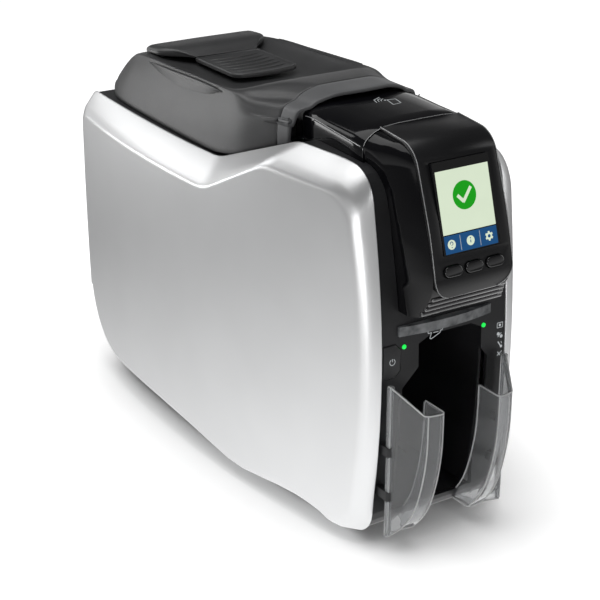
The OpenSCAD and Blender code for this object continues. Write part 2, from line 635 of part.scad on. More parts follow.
lid_stations = [
    [175, lw - 14, seam_z(0) + 3.4, lw - 15.5, sz - 35.5, 0.5, 24, sz - 35.5],
    [168, lw - 9.5, seam_z(0) + 1, lw - 12.5, sz - 30, 2, 26, sz - 29.6],
    [158, lw - 6, seam_z(0), lw - 11, sz - 22, 3, 28, sz - 21.4],
    [147, lw - 4, seam_z(0), lw - 10, sz - 14.2, 3, 28, sz - 13.6],
    [137, lw - 3, seam_z(0), lw - 9.5, sz - 7.8, 3, 30, sz - 7.1],
    [127, lw - 2.2, seam_z(0), lw - 9.3, sz - 4.4, 2.4, 30, sz - 4.5],
    [100, lw - 1, seam_z(0), lw - 7.5, sz - 2.2, 1.5, 32, scoop_z + 1],
    [70, lw - 0.3, seam_z(0), lw - 6.6, sz - 1.4, 1.2, 34, scoop_z],
    [35, lw, seam_z(0), lw - 6.3, sz, 1.2, 34, scoop_z],
    [8, lw - 0.2, seam_z(0) + 0.5, lw - 5.6, sz + 1, 1.5, 34, scoop_z + 3],
    [-12, lw - 1, seam_z(-12) + 0.8, lw - 5.2, sz + 1.6, 3, 34, sz + 3.5],
    [-26, lw - 2.8, seam_z(-26), lw - 6, sz, 6, 32, lid_top_z - 3],
    [-42, lw - 7, seam_z(-42), lw - 9.5, sz + 1.5, 9, 25, lid_top_z - 0.8],
    [-54, lw - 10.5, seam_z(-54), lw - 12.5, sz + 3, 9.5, 21, lid_top_z]];
arch_end = [-60, lw - 11.5, seam_z(-66), lw - 13, sz + 3.5, 9.5, 20, lid_top_z];
module lid_shell() color(BLACK) {
    rings = [for (s = lid_stations) let (r = arch_ring(lid_line(s), wall))
        placed(r, same(len(r), s[0]))];
    loft(rings, true);
}
// Lighter band that frames the front of the lid, wider over the top than at the sides
module arch_band() color(ARCH) {
    ring = arch_ring(lid_line(arch_end), wall);
    last = lid_stations[len(lid_stations) - 1];
    first = arch_ring(lid_line(last), wall);
    back = placed(first, same(len(first), last.x - 0.3));
    front = placed(ring, [for (p = ring) -77 + 9 * pow(p.x / 46, 2) + (p.y < 246 ? 1.5 : 0)]);
    loft([back, front], true);
}
cap_rear_y = 130;
cap_foot_y = 91;
// Raised cap behind the release button, moved in and down by d
module cap_hull(d) hull() {
    across(2 * (24.3 - d)) translate([0, -d]) polygon([[cap_foot_y + d, sz - 3.4],
        [cap_foot_y + d, sz - 2.6], [cap_foot_y + 6, sz - 2.6]]);
    across(2 * (34 - d)) translate([0, -d]) polygon([[cap_foot_y + 12, sz - 3],
        [cap_foot_y + 12, sz + 1.9], [cap_rear_y - 2, sz + 0.3], [cap_rear_y, sz - 1],
        [cap_rear_y, sz - 4.6]]);
    across(2 * (43 - d)) translate([0, -d]) polygon([[cap_foot_y + 18, sz - 3.2],
        [cap_foot_y + 22, sz - 0.6], [cap_rear_y - 3, sz - 2], [cap_rear_y - 1, sz - 4.8]]);
}
module lid_rear_cap() color(BLACK) difference() {
    cap_hull(0);
    cap_hull(1.6);
    // Seat on the lid shell
    across(100) polygon([[cap_foot_y - 9, sz - 3.4], [cap_foot_y + 15, sz - 3.4], [cap_foot_y + 25, sz - 4],
        [cap_rear_y + 10, sz - 4], [cap_rear_y + 10, sz - 20], [cap_foot_y - 9, sz - 20]]);
}
// Ribs inside the lid: two carry its hinge pins and two its latch shaft
module lid_ribs() color(BLACK) {
    for (s = [-1, 1]) difference() {
        union() {
            across(5, s * 30.5) translate([hinge_y, hinge_z]) circle(r = lug_rad);
            across(5, s * 30.5) polygon([[hinge_y, hinge_z + lug_rad], [158, sz - 25.6],
                [138, sz - 11.4], [126, sz - 7.8], [126, sz - 20], [hinge_y - lug_rad, hinge_z]]);
        }
        translate([s * 30.5 - 5, hinge_y, hinge_z]) rotate([0, 90, 0])
            cylinder(r = hinge_pin_r + run_gap, h = 10);
    }
    for (s = [-1, 1]) difference() {
        across(3, s * 40.5) polygon([[latch_y - 5, latch_z - 5], [latch_y + 5, latch_z - 5],
            [latch_y + 8, sz + 0.2], [latch_y - 10, sz - 1.8]]);
        translate([s * 40.5 - 5, latch_y, latch_z]) rotate([0, 90, 0])
            cylinder(r = 1.52, h = 10);
    }
}
module latch_shaft() color(STEEL) translate([-42.5, latch_y, latch_z]) rotate([0, 90, 0])
    cylinder(r = 1.5, h = 85);
module lid_hinge_pins() color(STEEL)
    for (s = [-1, 1]) translate([s * 34 - 7, hinge_y, hinge_z]) rotate([0, 90, 0])
        cylinder(r = hinge_pin_r, h = 14);

// ---------------------------------------------------------------- release button
button_rear_y = cap_foot_y - 0.6;
button_front_y = cap_foot_y - button_len;
button_low_z = scoop_z + 2.6;
tongue_half_w = 17;
pivot_y = cap_foot_y + 5;
pivot_z = button_low_z + 1.1;
module button_plan() {
    r = 9;
    hull() {
        translate([-button_half_w, button_rear_y - 4]) square([2 * button_half_w, 4]);
        for (s = [-1, 1]) translate([s * (button_half_w - r), button_front_y + r]) circle(r = r);
        translate([0, button_front_y + 18]) circle(r = 19.5);
    }
}
module release_button() color(BLACK) {
    difference() {
        translate([0, 0, button_low_z]) linear_extrude(button_t) button_plan();
        for (i = [0:rib_count - 1]) translate([0, button_front_y + 10 + i * 7, 0]) intersection() {
            translate([0, 60, button_low_z + button_t - 0.9]) difference() {
                cylinder(r = 60 + 0.8, h = 2);
                translate([0, 0, -1]) cylinder(r = 60 - 0.8, h = 4);
            }
            translate([3 - button_half_w, -10, 0]) cube([2 * button_half_w - 6, 20, 270]);
        }
    }
    translate([-tongue_half_w, button_rear_y - 1, button_low_z])
        cube([2 * tongue_half_w, pivot_y - button_rear_y + 2.4, 2.1]);
    translate([-tongue_half_w - 3, pivot_y, pivot_z]) rotate([0, 90, 0])
        cylinder(r = 0.9, h = 2 * tongue_half_w + 6);
}
module button_pivots() color(BLACK)
    for (s = [-1, 1]) difference() {
        translate([s * (tongue_half_w + 1.9) - 1.4, pivot_y - 2, scoop_z + 1.2])
            cube([2.8, 4, pivot_z - scoop_z + 0.2]);
        translate([s * (tongue_half_w + 1.9) - 3, pivot_y, pivot_z]) rotate([0, 90, 0])
            cylinder(r = 0.9 + run_gap, h = 6);
    }

// ---------------------------------------------------------------- mechanism
platen_y = 30;
platen_z = path_z - roller_r;
exit_y = -52;
feed_y = -95;
feed_z = bin_floor_z - feed_r + 0.8;
takeup_y = -22;
supply_y = 100;
spool_z = 176;
idler_r = gear_module * idler_teeth / 2;
platen_r = gear_module * platen_teeth / 2;
exit_r = gear_module * exit_teeth / 2;
pinion_r = gear_module * pinion_teeth / 2;
exit_z = path_z - roller_r;
// The idler meshes with the platen's gear and with the exit roller's gear
idler_d1 = platen_r + idler_r;
idler_d2 = exit_r + idler_r;
gear_span = platen_y - exit_y;

module spur_gear(teeth, w, bore) difference() {
    linear_extrude(w) {
        r = gear_module * teeth / 2;
        polygon([for (i = [0:teeth - 1]) let (a = 360 / teeth)
            each [for (p = [[-0.30, -1.1], [-0.13, 0.85], [0.13, 0.85], [0.30, -1.1]])
                let (t = (i + p.x) * a, q = r + p.y * gear_module) q * [cos(t), sin(t)]]]);
    }
    translate([0, 0, -1]) cylinder(r = bore, h = w + 2);
}
// Turn that meshes a gear with its neighbour; dir points from the neighbour to the gear
function mesh_turn(teeth, turn, own_teeth, dir) =
    dir + 180 + ((dir - turn) * teeth / 360 + 0.5) * 360 / own_teeth;
// Direction from one shaft to another, as an angle round the gears' own axis
function heading(y0, z0, y1, z1) = atan2(y1 - y0, z0 - z1);
// Place children on the gear side, outside the right frame plate
gear_x = plate_half_w + plate_t + 1.2;
module at_gear(y, z, x = 0) translate([gear_x + x, y, z]) rotate([0, 90, 0]) children();
module roller(y, z, r, tyres, tip) {
    color(STEEL) translate([-plate_half_w - plate_t - 1, y, z]) rotate([0, 90, 0])
        cylinder(r = shaft_r, h = plate_half_w + plate_t + 1 + tip);
    color(RUBBER) for (t = tyres) translate([t[0], y, z]) rotate([0, 90, 0])
        cylinder(r = r, h = t[1]);
}
tip_x = gear_x + gear_w;
module platen_roller() roller(platen_y, platen_z, roller_r, [[-29, 58]], tip_x);
module platen_gear() color(GEAR_WHITE) at_gear(platen_y, platen_z)
    spur_gear(platen_teeth, gear_w, shaft_r);
idler_tilt = acos((idler_d1 * idler_d1 + gear_span * gear_span - idler_d2 * idler_d2)
    / (2 * idler_d1 * gear_span));
idler_y = platen_y - idler_d1 * cos(idler_tilt);
idler_z = platen_z - idler_d1 * sin(idler_tilt);
idler_turn = mesh_turn(platen_teeth, 0, idler_teeth,
    heading(platen_y, platen_z, idler_y, idler_z));
exit_turn = mesh_turn(idler_teeth, idler_turn, exit_teeth,
    heading(idler_y, idler_z, exit_y, exit_z));
module idler_gear() color(GEAR_WHITE) at_gear(idler_y, idler_z)
    rotate(idler_turn) spur_gear(idler_teeth, gear_w, 2 + run_gap);
module idler_stud() color(STEEL) translate([plate_half_w, idler_y, idler_z]) rotate([0, 90, 0])
    cylinder(r = 2, h = gear_x - plate_half_w + gear_w);
module exit_roller() roller(exit_y, exit_z, roller_r, [[-26, 14], [12, 14]], tip_x);
module exit_gear() color(GEAR_WHITE) at_gear(exit_y, exit_z)
    rotate(exit_turn) spur_gear(exit_teeth, gear_w, shaft_r);
motor_y = platen_y;
motor_z = platen_z - platen_r - pinion_r;
motor_t = plate_half_w - bin_half_w - bin_wall - 1;
// Flat motor of width w behind the right frame plate, with its boss in the plate
module motor(y, z, w) color(STEEL) translate([plate_half_w, y, z]) rotate([0, 90, 0]) {
    translate([0, 0, -motor_t]) intersection() {
        cylinder(r = w * 0.6, h = motor_t);
        translate([-w / 2, -w / 2, 0]) cube([w, w, motor_t]);
    }
    cylinder(r = 5, h = plate_t + 0.4);
}
// Pinion on its motor shaft
module pinion(y, z, turn) color("#b9a45c") at_gear(y, z) {
    rotate(turn) spur_gear(pinion_teeth, gear_w, 1.4);
    translate([0, 0, -0.6]) cylinder(r = 1.5, h = gear_w + 1.2);
}
module drive_motor() motor(motor_y, motor_z, 35);
module motor_pinion() pinion(motor_y, motor_z,
    mesh_turn(platen_teeth, 0, pinion_teeth, heading(platen_y, platen_z, motor_y, motor_z)));
module feed_roller() roller(feed_y, feed_z, feed_r, [[-20, 12], [8, 12]], tip_x);
module feed_gear() color(GEAR_WHITE) at_gear(feed_y, feed_z)
    spur_gear(pinion_teeth, gear_w, shaft_r);
feed_lean = 60;
feed_motor_y = feed_y + 2 * pinion_r * cos(feed_lean);
feed_motor_z = feed_z + 2 * pinion_r * sin(feed_lean);
module feed_motor() motor(feed_motor_y, feed_motor_z, 14);
module feed_pinion() pinion(feed_motor_y, feed_motor_z,
    mesh_turn(pinion_teeth, 0, pinion_teeth, heading(feed_y, feed_z, feed_motor_y, feed_motor_z)));

plate_outline = [[-112, floor_top_z], [140, floor_top_z], [150, 150], [150, 200], [60, 204],
    [-44, 204], [-60, 196], [-66, 150], [-68, 52], [-112, 42]];
module frame_plate(s) color(STEEL) difference() {
    across(plate_t, s * (plate_half_w + plate_t / 2)) polygon(plate_outline);
    for (c = [[platen_y, platen_z], [exit_y, exit_z], [feed_y, feed_z]])
        translate([s * plate_half_w - 5, c[0], c[1]]) rotate([0, 90, 0])
            cylinder(r = shaft_r + run_gap, h = 10);
    for (c = [[takeup_y, spool_z], [supply_y, spool_z]])
        translate([s * plate_half_w - 5, c[0], c[1]]) rotate([0, 90, 0])
            cylinder(r = shaft_r + run_gap, h = 10);
    if (s > 0) for (c = [[motor_y, motor_z], [feed_motor_y, feed_motor_z]])
        translate([plate_half_w - 5, c[0], c[1]]) rotate([0, 90, 0]) cylinder(r = 5.02, h = 10);
    if (s > 0) translate([plate_half_w - 5, idler_y, idler_z]) rotate([0, 90, 0])
        cylinder(r = 2, h = 10);
}
module left_frame_plate() frame_plate(-1);
module right_frame_plate() frame_plate(1);

module spindle(y) color(DARK) translate([-plate_half_w - plate_t - 1, y, spool_z])
    rotate([0, 90, 0]) cylinder(r = shaft_r, h = 2 * (plate_half_w + plate_t + 1));
module roll(y, r) color("#3a2a44") translate([-29, y, spool_z]) rotate([0, 90, 0]) difference() {
    cylinder(r = r, h = 58);
    translate([0, 0, -1]) cylinder(r = shaft_r, h = 60);
}
module supply_spindle() spindle(supply_y);
module takeup_spindle() spindle(takeup_y);
module supply_roll() roll(supply_y, 17);
module takeup_roll() roll(takeup_y, 11);

// Print head that hangs from the lid over the platen
head_bar_z = path_z + 0.6;
module printhead() color("#c8b27a") {
    translate([-30, platen_y - 6, head_bar_z]) cube([60, 12, 5]);
    translate([-30, platen_y - 9, head_bar_z + 5]) cube([60, 16, 12]);
}
module printhead_bracket() color(STEEL) {
    translate([-33, platen_y - 9, head_bar_z + 17]) cube([66, 16, 3]);
    for (s = [-1, 1]) translate([s * 32 - 1, platen_y - 9, head_bar_z + 17])
        cube([2, 16, scoop_z - wall - 0.4 - head_bar_z - 17]);
}

// Latch: hooks on the lid catch a bar between the frame plates
latch_y = -36;
latch_z = 226;
catch_z = 198;
module latch_hooks() color(STEEL)
    for (s = [-1, 1]) across(3, s * (plate_half_w - 5)) difference() {
        union() {
            translate([latch_y, latch_z]) circle(r = 4);
            polygon([[latch_y - 2.5, latch_z], [latch_y - 2.5, catch_z - 7],
                [latch_y + 3, catch_z - 7], [latch_y + 5.2, catch_z - 4],
                [latch_y + 1.5, catch_z - 3.2], [latch_y + 2.5, latch_z]]);
        }
        translate([latch_y, latch_z]) circle(r = 1.5 + run_gap);
    }
module latch_catch() color(STEEL) translate([-plate_half_w, latch_y + 8.4, catch_z])
    rotate([0, 90, 0]) cylinder(r = 2.6, h = 2 * plate_half_w);

module main_board() color("#1d5c3a") translate([-plate_half_w + 3, 20, floor_top_z + board_lift + 0.02])
    cube([60, 110, 1.6]);
module power_inlet() color(BLACK) difference() {
    translate([inlet_x - inlet_w / 2, rear_y - 33, port_z - inlet_h / 2])
        cube([inlet_w, 24, inlet_h]);
    translate([inlet_x - inlet_w / 2 + 2.5, rear_y - 25, port_z - inlet_h / 2 + 2.5])
        cube([inlet_w - 5, 20, inlet_h - 5]);
}
module data_ports() color(STEEL) {
    for (p = [[port_x[0], 16, 14], [port_x[1], 12, 11], [port_x[2], 10, 10]]) difference() {
        translate([p[0] - p[1] / 2, rear_y - 28, port_z - p[2] / 2]) cube([p[1], 18, p[2]]);
        translate([p[0] - p[1] / 2 + 1, rear_y - 20, port_z - p[2] / 2 + 1])
            cube([p[1] - 2, 20, p[2] - 2]);
    }
}

left_side_panel();
right_side_panel();
base_tray();
rubber_feet();
front_frame();
rear_panel();
top_deck();
head_housing();
display_face();
display_screen();
display_board();
head_cover();
left_key();
middle_key();
right_key();
power_button();
light_bar();
status_leds();
card_bin();
left_hopper_wing();
right_hopper_wing();
wing_hinge_pins();
left_frame_plate();
right_frame_plate();
lid_shell();
arch_band();
lid_rear_cap();
lid_ribs();
lid_hinge_pins();
release_button();
button_pivots();
latch_hooks();
latch_shaft();
latch_catch();
printhead_bracket();
printhead();
platen_roller();
platen_gear();
idler_gear();
idler_stud();
exit_roller();
exit_gear();
drive_motor();
motor_pinion();
feed_roller();
feed_gear();
feed_motor();
feed_pinion();
supply_spindle();
supply_roll();
takeup_spindle();
takeup_roll();
main_board();
power_inlet();
data_ports();
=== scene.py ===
import bpy
import bmesh
import json
from math import sin, cos, pi, radians, atan2, acos, tan
from mathutils import Matrix, Vector


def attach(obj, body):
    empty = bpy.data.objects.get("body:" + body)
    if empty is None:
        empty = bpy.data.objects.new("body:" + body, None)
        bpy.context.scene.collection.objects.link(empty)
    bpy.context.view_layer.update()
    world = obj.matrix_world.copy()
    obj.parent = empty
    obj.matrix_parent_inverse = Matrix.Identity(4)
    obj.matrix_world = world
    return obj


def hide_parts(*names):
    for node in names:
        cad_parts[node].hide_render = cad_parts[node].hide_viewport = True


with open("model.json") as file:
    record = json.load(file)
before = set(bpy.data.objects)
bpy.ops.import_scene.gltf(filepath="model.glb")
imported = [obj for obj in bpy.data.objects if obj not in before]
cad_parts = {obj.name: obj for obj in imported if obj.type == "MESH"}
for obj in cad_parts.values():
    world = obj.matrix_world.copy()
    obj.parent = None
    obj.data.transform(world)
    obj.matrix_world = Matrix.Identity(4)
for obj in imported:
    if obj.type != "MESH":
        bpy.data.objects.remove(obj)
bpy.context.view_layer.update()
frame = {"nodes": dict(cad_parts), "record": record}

# ------------------------------------------------------------------ camera and picture
# A long lens from the front left, a little above the lid, as the photo was taken. Its
# place and its two angles were fitted to the photo; metres and degrees.
scene = bpy.context.scene
camera = bpy.data.objects.new("camera", bpy.data.cameras.new("camera"))
scene.collection.objects.link(camera)
scene.camera = camera
camera.data.lens = 96
camera.data.sensor_width = 36
camera.data.clip_start = 0.05
eye = (-0.539685, -0.852424, 0.526301)
turn, drop = radians(32.44), radians(23.006)
right = Vector((cos(turn), -sin(turn), 0))
ahead = Vector((sin(turn) * cos(drop), cos(turn) * cos(drop), -sin(drop)))
above = right.cross(ahead)
camera.matrix_world = (Matrix.Translation(eye)
                       @ Matrix((right, above, -ahead)).transposed().to_4x4())
scene.view_settings.view_transform = "Standard"


class Val:
    """A socket of a node tree, with arithmetic on it and a way to add any other node."""

    def __init__(self, tree, socket):
        self.tree, self.socket = tree, socket

    def put(self, target, value):
        """Sets an input to a plain value, or links another value to it."""
        if isinstance(value, Val):
            self.tree.links.new(value.socket, target)
        else:
            target.default_value = value

    def math(self, operation, *others):
        """A sum, product or other calculation of this value with the others."""
        node = self.tree.nodes.new("ShaderNodeMath")
        node.operation = operation
        for target, value in zip(node.inputs, (self,) + others):
            self.put(target, value)
        return Val(self.tree, node.outputs[0])

    def __add__(self, other):
        return self.math("ADD", other)

    def __sub__(self, other):
        return self.math("SUBTRACT", other)

    def __mul__(self, other):
        return self.math("MULTIPLY", other)

    def __radd__(self, other):
        return self + other

    def __rmul__(self, other):
        return self * other

    def __rsub__(self, other):
        return self * -1 + other

    def node(self, kind, out=0, attrs=(), **inputs):
        """Any other shader node, with its settings and inputs by name."""
        node = self.tree.nodes.new("ShaderNode" + kind)
        for key, value in dict(attrs).items():
            setattr(node, key, value)
        for key, value in inputs.items():
            self.put(node.inputs[key.replace("_", " ")], value)
        return Val(self.tree, node.outputs[out])

    def noise(self, scale, detail=3.0, rough=0.55):
        return self.node("TexNoise", Vector=self, Scale=scale, Detail=detail, Roughness=rough)

    def ramp(self, low, high, start, end):
        """Maps the range low to high onto start to end, and stops at both ends."""
        return self.node("MapRange", Value=self, From_Min=low, From_Max=high, To_Min=start,
                         To_Max=end)

    def tint(self, low, high):
        """Mixes two colours by this value."""
        mix = self.tree.nodes.new("ShaderNodeMix")
        mix.data_type = "RGBA"
        factor, first, second = (mix.inputs[i] for i in (0, 6, 7))
        self.put(factor, self)
        first.default_value = (*low, 1)
        second.default_value = (*high, 1)
        return Val(self.tree, mix.outputs[2])

    def bump(self, distance, strength=1.0):
        return self.node("Bump", Height=self, Distance=distance, Strength=strength)


def new_material(name):
    """A material with its object coordinates and its surface shader."""
    mat = bpy.data.materials.new(name)
    mat.use_nodes = True
    tree = mat.node_tree
    surface = tree.nodes["Principled BSDF"]
    where = Val(tree, tree.nodes.new("ShaderNodeTexCoord").outputs["Object"])
    return mat, where, surface


def plastic(name, dark, light, rough, grain=0.00004, scale=2600, cloud=25, coat=0.0, shine=0.3):
    """Moulded plastic: fine spark-eroded grain and a slow drift of tone and gloss."""
    mat, where, surface = new_material(name)
    drift = where.noise(cloud, 2.0)
    fine = where.noise(scale, 2.0)
    where.put(surface.inputs["Base Color"], drift.ramp(0.35, 0.65, 0, 1).tint(dark, light))
    where.put(surface.inputs["Roughness"], fine.ramp(0.2, 0.8, rough - 0.05, rough + 0.07))
    where.put(surface.inputs["Normal"], (fine + where.noise(scale / 5, 2.0) * 0.5).bump(grain))
    surface.inputs["Coat Weight"].default_value = coat
    surface.inputs["Specular IOR Level"].default_value = shine
    return mat


def metal(name, colour, rough, along=(1, 1, 1)):
    """Rolled or turned metal, with fine lines along one direction."""
    mat, where, surface = new_material(name)
    lines = where.node("Mapping", Vector=where, Scale=along).noise(900, 3.0)
    where.put(surface.inputs["Base Color"],
              where.noise(40).tint([c * 0.85 for c in colour], colour))
    where.put(surface.inputs["Roughness"], lines.ramp(0.3, 0.7, rough - 0.06, rough + 0.1))
    where.put(surface.inputs["Normal"], lines.bump(0.00002))
    surface.inputs["Metallic"].default_value = 1
    return mat


# ------------------------------------------------------------------ the CAD pieces' own finishes
# Each moulded, pressed or turned piece that stays as the CAD made it gets the finish of
# its material slot. Some finishes are for the mouldings further down.
silver, where, surface = new_material("silver_paint")
flake = where.noise(5200, 2.0)
where.put(surface.inputs["Base Color"],
          where.noise(14, 2.0).ramp(0.3, 0.7, 0, 1).tint((0.7, 0.705, 0.71), (0.73, 0.735, 0.74)))
where.put(surface.inputs["Roughness"], flake.ramp(0.2, 0.8, 0.32, 0.42))
where.put(surface.inputs["Normal"], flake.bump(0.00001))
surface.inputs["Metallic"].default_value = 0.8

clear, where, surface = new_material("clear_plastic")
where.put(surface.inputs["Base Color"],
          where.noise(30).tint((0.78, 0.79, 0.8), (0.84, 0.85, 0.86)))
where.put(surface.inputs["Roughness"], where.noise(220).ramp(0.3, 0.7, 0.01, 0.03))
surface.inputs["Transmission Weight"].default_value = 0.88
surface.inputs["IOR"].default_value = 1.3

lamp, where, surface = new_material("lamp_bar")
smoke = where.noise(70).ramp(0.35, 0.65, 0, 1)
where.put(surface.inputs["Base Color"], smoke.tint((0.05, 0.055, 0.06), (0.3, 0.31, 0.32)))
where.put(surface.inputs["Roughness"], where.noise(400).ramp(0.3, 0.7, 0.08, 0.16))
where.put(surface.inputs["Normal"], where.noise(55, 1.0).bump(0.0012))

glow, where, surface = new_material("green_lamp")
where.put(surface.inputs["Base Color"],
          where.noise(300).tint((0.0, 0.3, 0.05), (0.0, 0.45, 0.08)))
where.put(surface.inputs["Emission Color"],
          where.noise(300).tint((0.0, 0.65, 0.05), (0.02, 0.85, 0.1)))
surface.inputs["Emission Strength"].default_value = 1.1

glass, where, surface = new_material("screen_glass")
where.put(surface.inputs["Base Color"],
          where.noise(50).tint((0.004, 0.004, 0.005), (0.01, 0.01, 0.012)))
where.put(surface.inputs["Roughness"], where.noise(300).ramp(0.3, 0.7, 0.05, 0.1))

finishes = {
    "silver": silver,
    "black_plastic": plastic("black_grain", (0.012, 0.012, 0.013), (0.018, 0.018, 0.02), 0.42),
    "lid_plastic": plastic("lid_grain", (0.02, 0.0205, 0.0215), (0.03, 0.0305, 0.032), 0.42,
                           grain=0.00008, scale=1900, shine=0.8),
    "gloss_black": plastic("gloss_black", (0.003, 0.003, 0.004), (0.005, 0.005, 0.006), 0.08,
                           grain=0.000003, coat=0.12, shine=0.22),
    # Light grey for beads along the clear wings' edges: painted highlights, not the plastic's
    # colour.
    "clear_edge": plastic("clear_edge", (0.5, 0.505, 0.51), (0.62, 0.625, 0.63), 0.15,
                          grain=0.000004, coat=1.0, shine=0.5),
    # Grey for beads along the rims of the black mouldings: painted highlights, not the plastic's
    # colour.
    "bright_edge": plastic("bright_edge", (0.28, 0.285, 0.29), (0.36, 0.365, 0.37), 0.2,
                           grain=0.000004, coat=0.6, shine=0.5),
    "chin_black": plastic("chin_gloss", (0.03, 0.03, 0.032), (0.045, 0.045, 0.048), 0.14,
                          grain=0.000004, coat=1.0, shine=1.0),
    "grey_band": plastic("grey_band", (0.105, 0.107, 0.11), (0.125, 0.127, 0.13), 0.38),
    "button_grey": plastic("button_grey", (0.02, 0.02, 0.021), (0.028, 0.028, 0.03), 0.36),
    "face_black": plastic("face_satin", (0.008, 0.008, 0.009), (0.011, 0.011, 0.012), 0.3,
                          grain=0.00001),
    "key_black": plastic("key_gloss", (0.006, 0.006, 0.007), (0.01, 0.01, 0.011), 0.1,
                         grain=0.000004, coat=0.5),
    "screen": glass,
    "board": plastic("board_mask", (0.01, 0.06, 0.03), (0.02, 0.09, 0.04), 0.3),
    "lamp": lamp,
    "led": glow,
    "clear_plastic": clear,
    "steel": metal("steel", (0.5, 0.51, 0.53), 0.3, (1, 1, 0.02)),
    "roller_rubber": plastic("roller_rubber", (0.02, 0.02, 0.02), (0.03, 0.03, 0.032), 0.6),
    "rubber": plastic("foot_rubber", (0.012, 0.012, 0.012), (0.02, 0.02, 0.02), 0.75,
                      grain=0.0001, scale=1500),
    "gear_white": plastic("acetal", (0.62, 0.6, 0.55), (0.7, 0.68, 0.63), 0.35),
    "brass": metal("brass", (0.75, 0.56, 0.25), 0.25),
    "spool": plastic("spool", (0.03, 0.03, 0.033), (0.045, 0.045, 0.05), 0.45),
    "film": plastic("film", (0.03, 0.012, 0.06), (0.05, 0.02, 0.09), 0.18, grain=0.00001),
    "ceramic": plastic("ceramic", (0.55, 0.42, 0.2), (0.63, 0.5, 0.26), 0.3),
}
slots = {part["node"]: part["material_slot"] for part in frame["record"]["subparts"]}
for name, made in frame["nodes"].items():
    made.data.materials.clear()
    made.data.materials.append(finishes[slots[name]])

# ------------------------------------------------------------------ side panels
# Two silver-painted mouldings, bowed outwards. A bevel runs round each and follows the
# ramp in front of the lid, and the lower edge rises in a wave for lifting by hand.
widest, widest_y, bow_in, bow_run = 79, 46, 22.5, 206      # half width and its bow, mm
rim_least, rim_most, rim_most_y = 46, 63, 60               # half width at the inner edge
nose_reach, nose_bow, nose_z = -166, 0.00095, 112          # the bowed front, seen from aside
hand_rise, foot_rise = 11.5, 3.2                           # waves of the lower edge
panel_wall, panel_y, panel_z = 2.4, 5, 112                 # wall, and the panel's middle


def corner(a, b, c, r, steps=8):
    """Points of the arc of radius r that rounds corner b between a and c."""
    a, b, c = Vector(a), Vector(b), Vector(c)
    u, v = (a - b).normalized(), (c - b).normalized()
    half = acos(u.dot(v)) / 2
    hub = b + (u + v).normalized() * (r / sin(half))
    p, q = b + u * (r / tan(half)) - hub, b + v * (r / tan(half)) - hub
    start = atan2(p.y, p.x)
    swing = (atan2(q.y, q.x) - start + 3 * pi) % (2 * pi) - pi
    return [hub + Vector((cos(start + swing * i / steps), sin(start + swing * i / steps))) * r
            for i in range(steps + 1)]


def drape(rings, closed=True, capped=True):
    """A grid laid over rings of points, in millimetres; closed rings are sewn at their seam."""
    bm = bmesh.new()
    wide, long = len(rings[0]) - (0 if closed else 1), len(rings) - 1
    bmesh.ops.create_grid(bm, x_segments=wide, y_segments=long, size=1)
    for v in bm.verts:
        i, j = round((v.co.x + 1) / 2 * wide), round((v.co.y + 1) / 2 * long)
        v.co = rings[j][i % len(rings[0])]
    bmesh.ops.remove_doubles(bm, verts=bm.verts, dist=0.0005)
    if closed and capped:
        bmesh.ops.holes_fill(bm, edges=[e for e in bm.edges if e.is_boundary], sides=0)
    bmesh.ops.recalc_face_normals(bm, faces=bm.faces)
    return bm


def thicken(bm, wall):
    """Gives a sheet its wall, on the inner side."""
    bmesh.ops.solidify(bm, geom=bm.faces[:], thickness=wall)
    return bm


def joined(parts):
    """Several meshes as one."""
    bm = parts[0]
    for other in parts[1:]:
        mesh = bpy.data.meshes.new("part")
        other.to_mesh(mesh)
        other.free()
        bm.from_mesh(mesh)
        bpy.data.meshes.remove(mesh)
    return bm


def mirrored_line(line):
    """The line on the other side of the printer's middle."""
    return [Vector((-p.x, p.y, p.z)) for p in line]


def piece(name, bm, finish, body, nodes=(), round_off=0.0, sharp=32, segments=2):
    """Rounds those edges of a mesh that turn by more than sharp degrees, and places it as a
    named piece. The mesh comes in millimetres."""
    if bm.calc_volume(signed=True) < 0:
        bmesh.ops.reverse_faces(bm, faces=bm.faces)
    if round_off:
        edges = [e for e in bm.edges if len(e.link_faces) == 2
                 and e.calc_face_angle(0) > radians(sharp)]
        bmesh.ops.bevel(bm, geom=edges, offset=round_off, offset_type="OFFSET", segments=segments,
                        profile=0.5, affect="EDGES", material=-1, clamp_overlap=False)
    bmesh.ops.scale(bm, vec=(0.001, 0.001, 0.001), verts=bm.verts)
    mesh = bpy.data.meshes.new(name)
    bm.to_mesh(mesh)
    bm.free()
    mesh.shade_smooth()
    mesh.set_sharp_from_angle(angle=radians(50))
    made = bpy.data.objects.new(name, mesh)
    scene.collection.objects.link(made)
    mesh.materials.append(finish)
    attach(made, body)
    if nodes:
        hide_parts(*nodes)
    return made


def held(value, low, high):
    """The value, kept between two limits."""
    return max(low, min(high, value))


def face_x(y):
    """Half width of the printer at depth y, over the flat of a side panel."""
    return widest - bow_in / bow_run ** 2 * (y - widest_y) ** 2


def edge_x(y):
    """Half width of a side panel's inner edge at depth y."""
    bow = 2.8e-4 if y > rim_most_y else 5.1e-4
    return max(rim_least, rim_most - bow * (y - rim_most_y) ** 2)


def nose_y(z):
    """Depth of the bowed front at height z."""
    return nose_bow * (z - nose_z) ** 2 + nose_reach


def sill(y):
    """Rise of a panel's lower edge at depth y."""
    return (hand_rise * sin(pi / 2 * held((y + 38) / 118, 0, 1))
            + foot_rise * (1 + cos(pi * held((y + 95) / 58, -1, 1))))


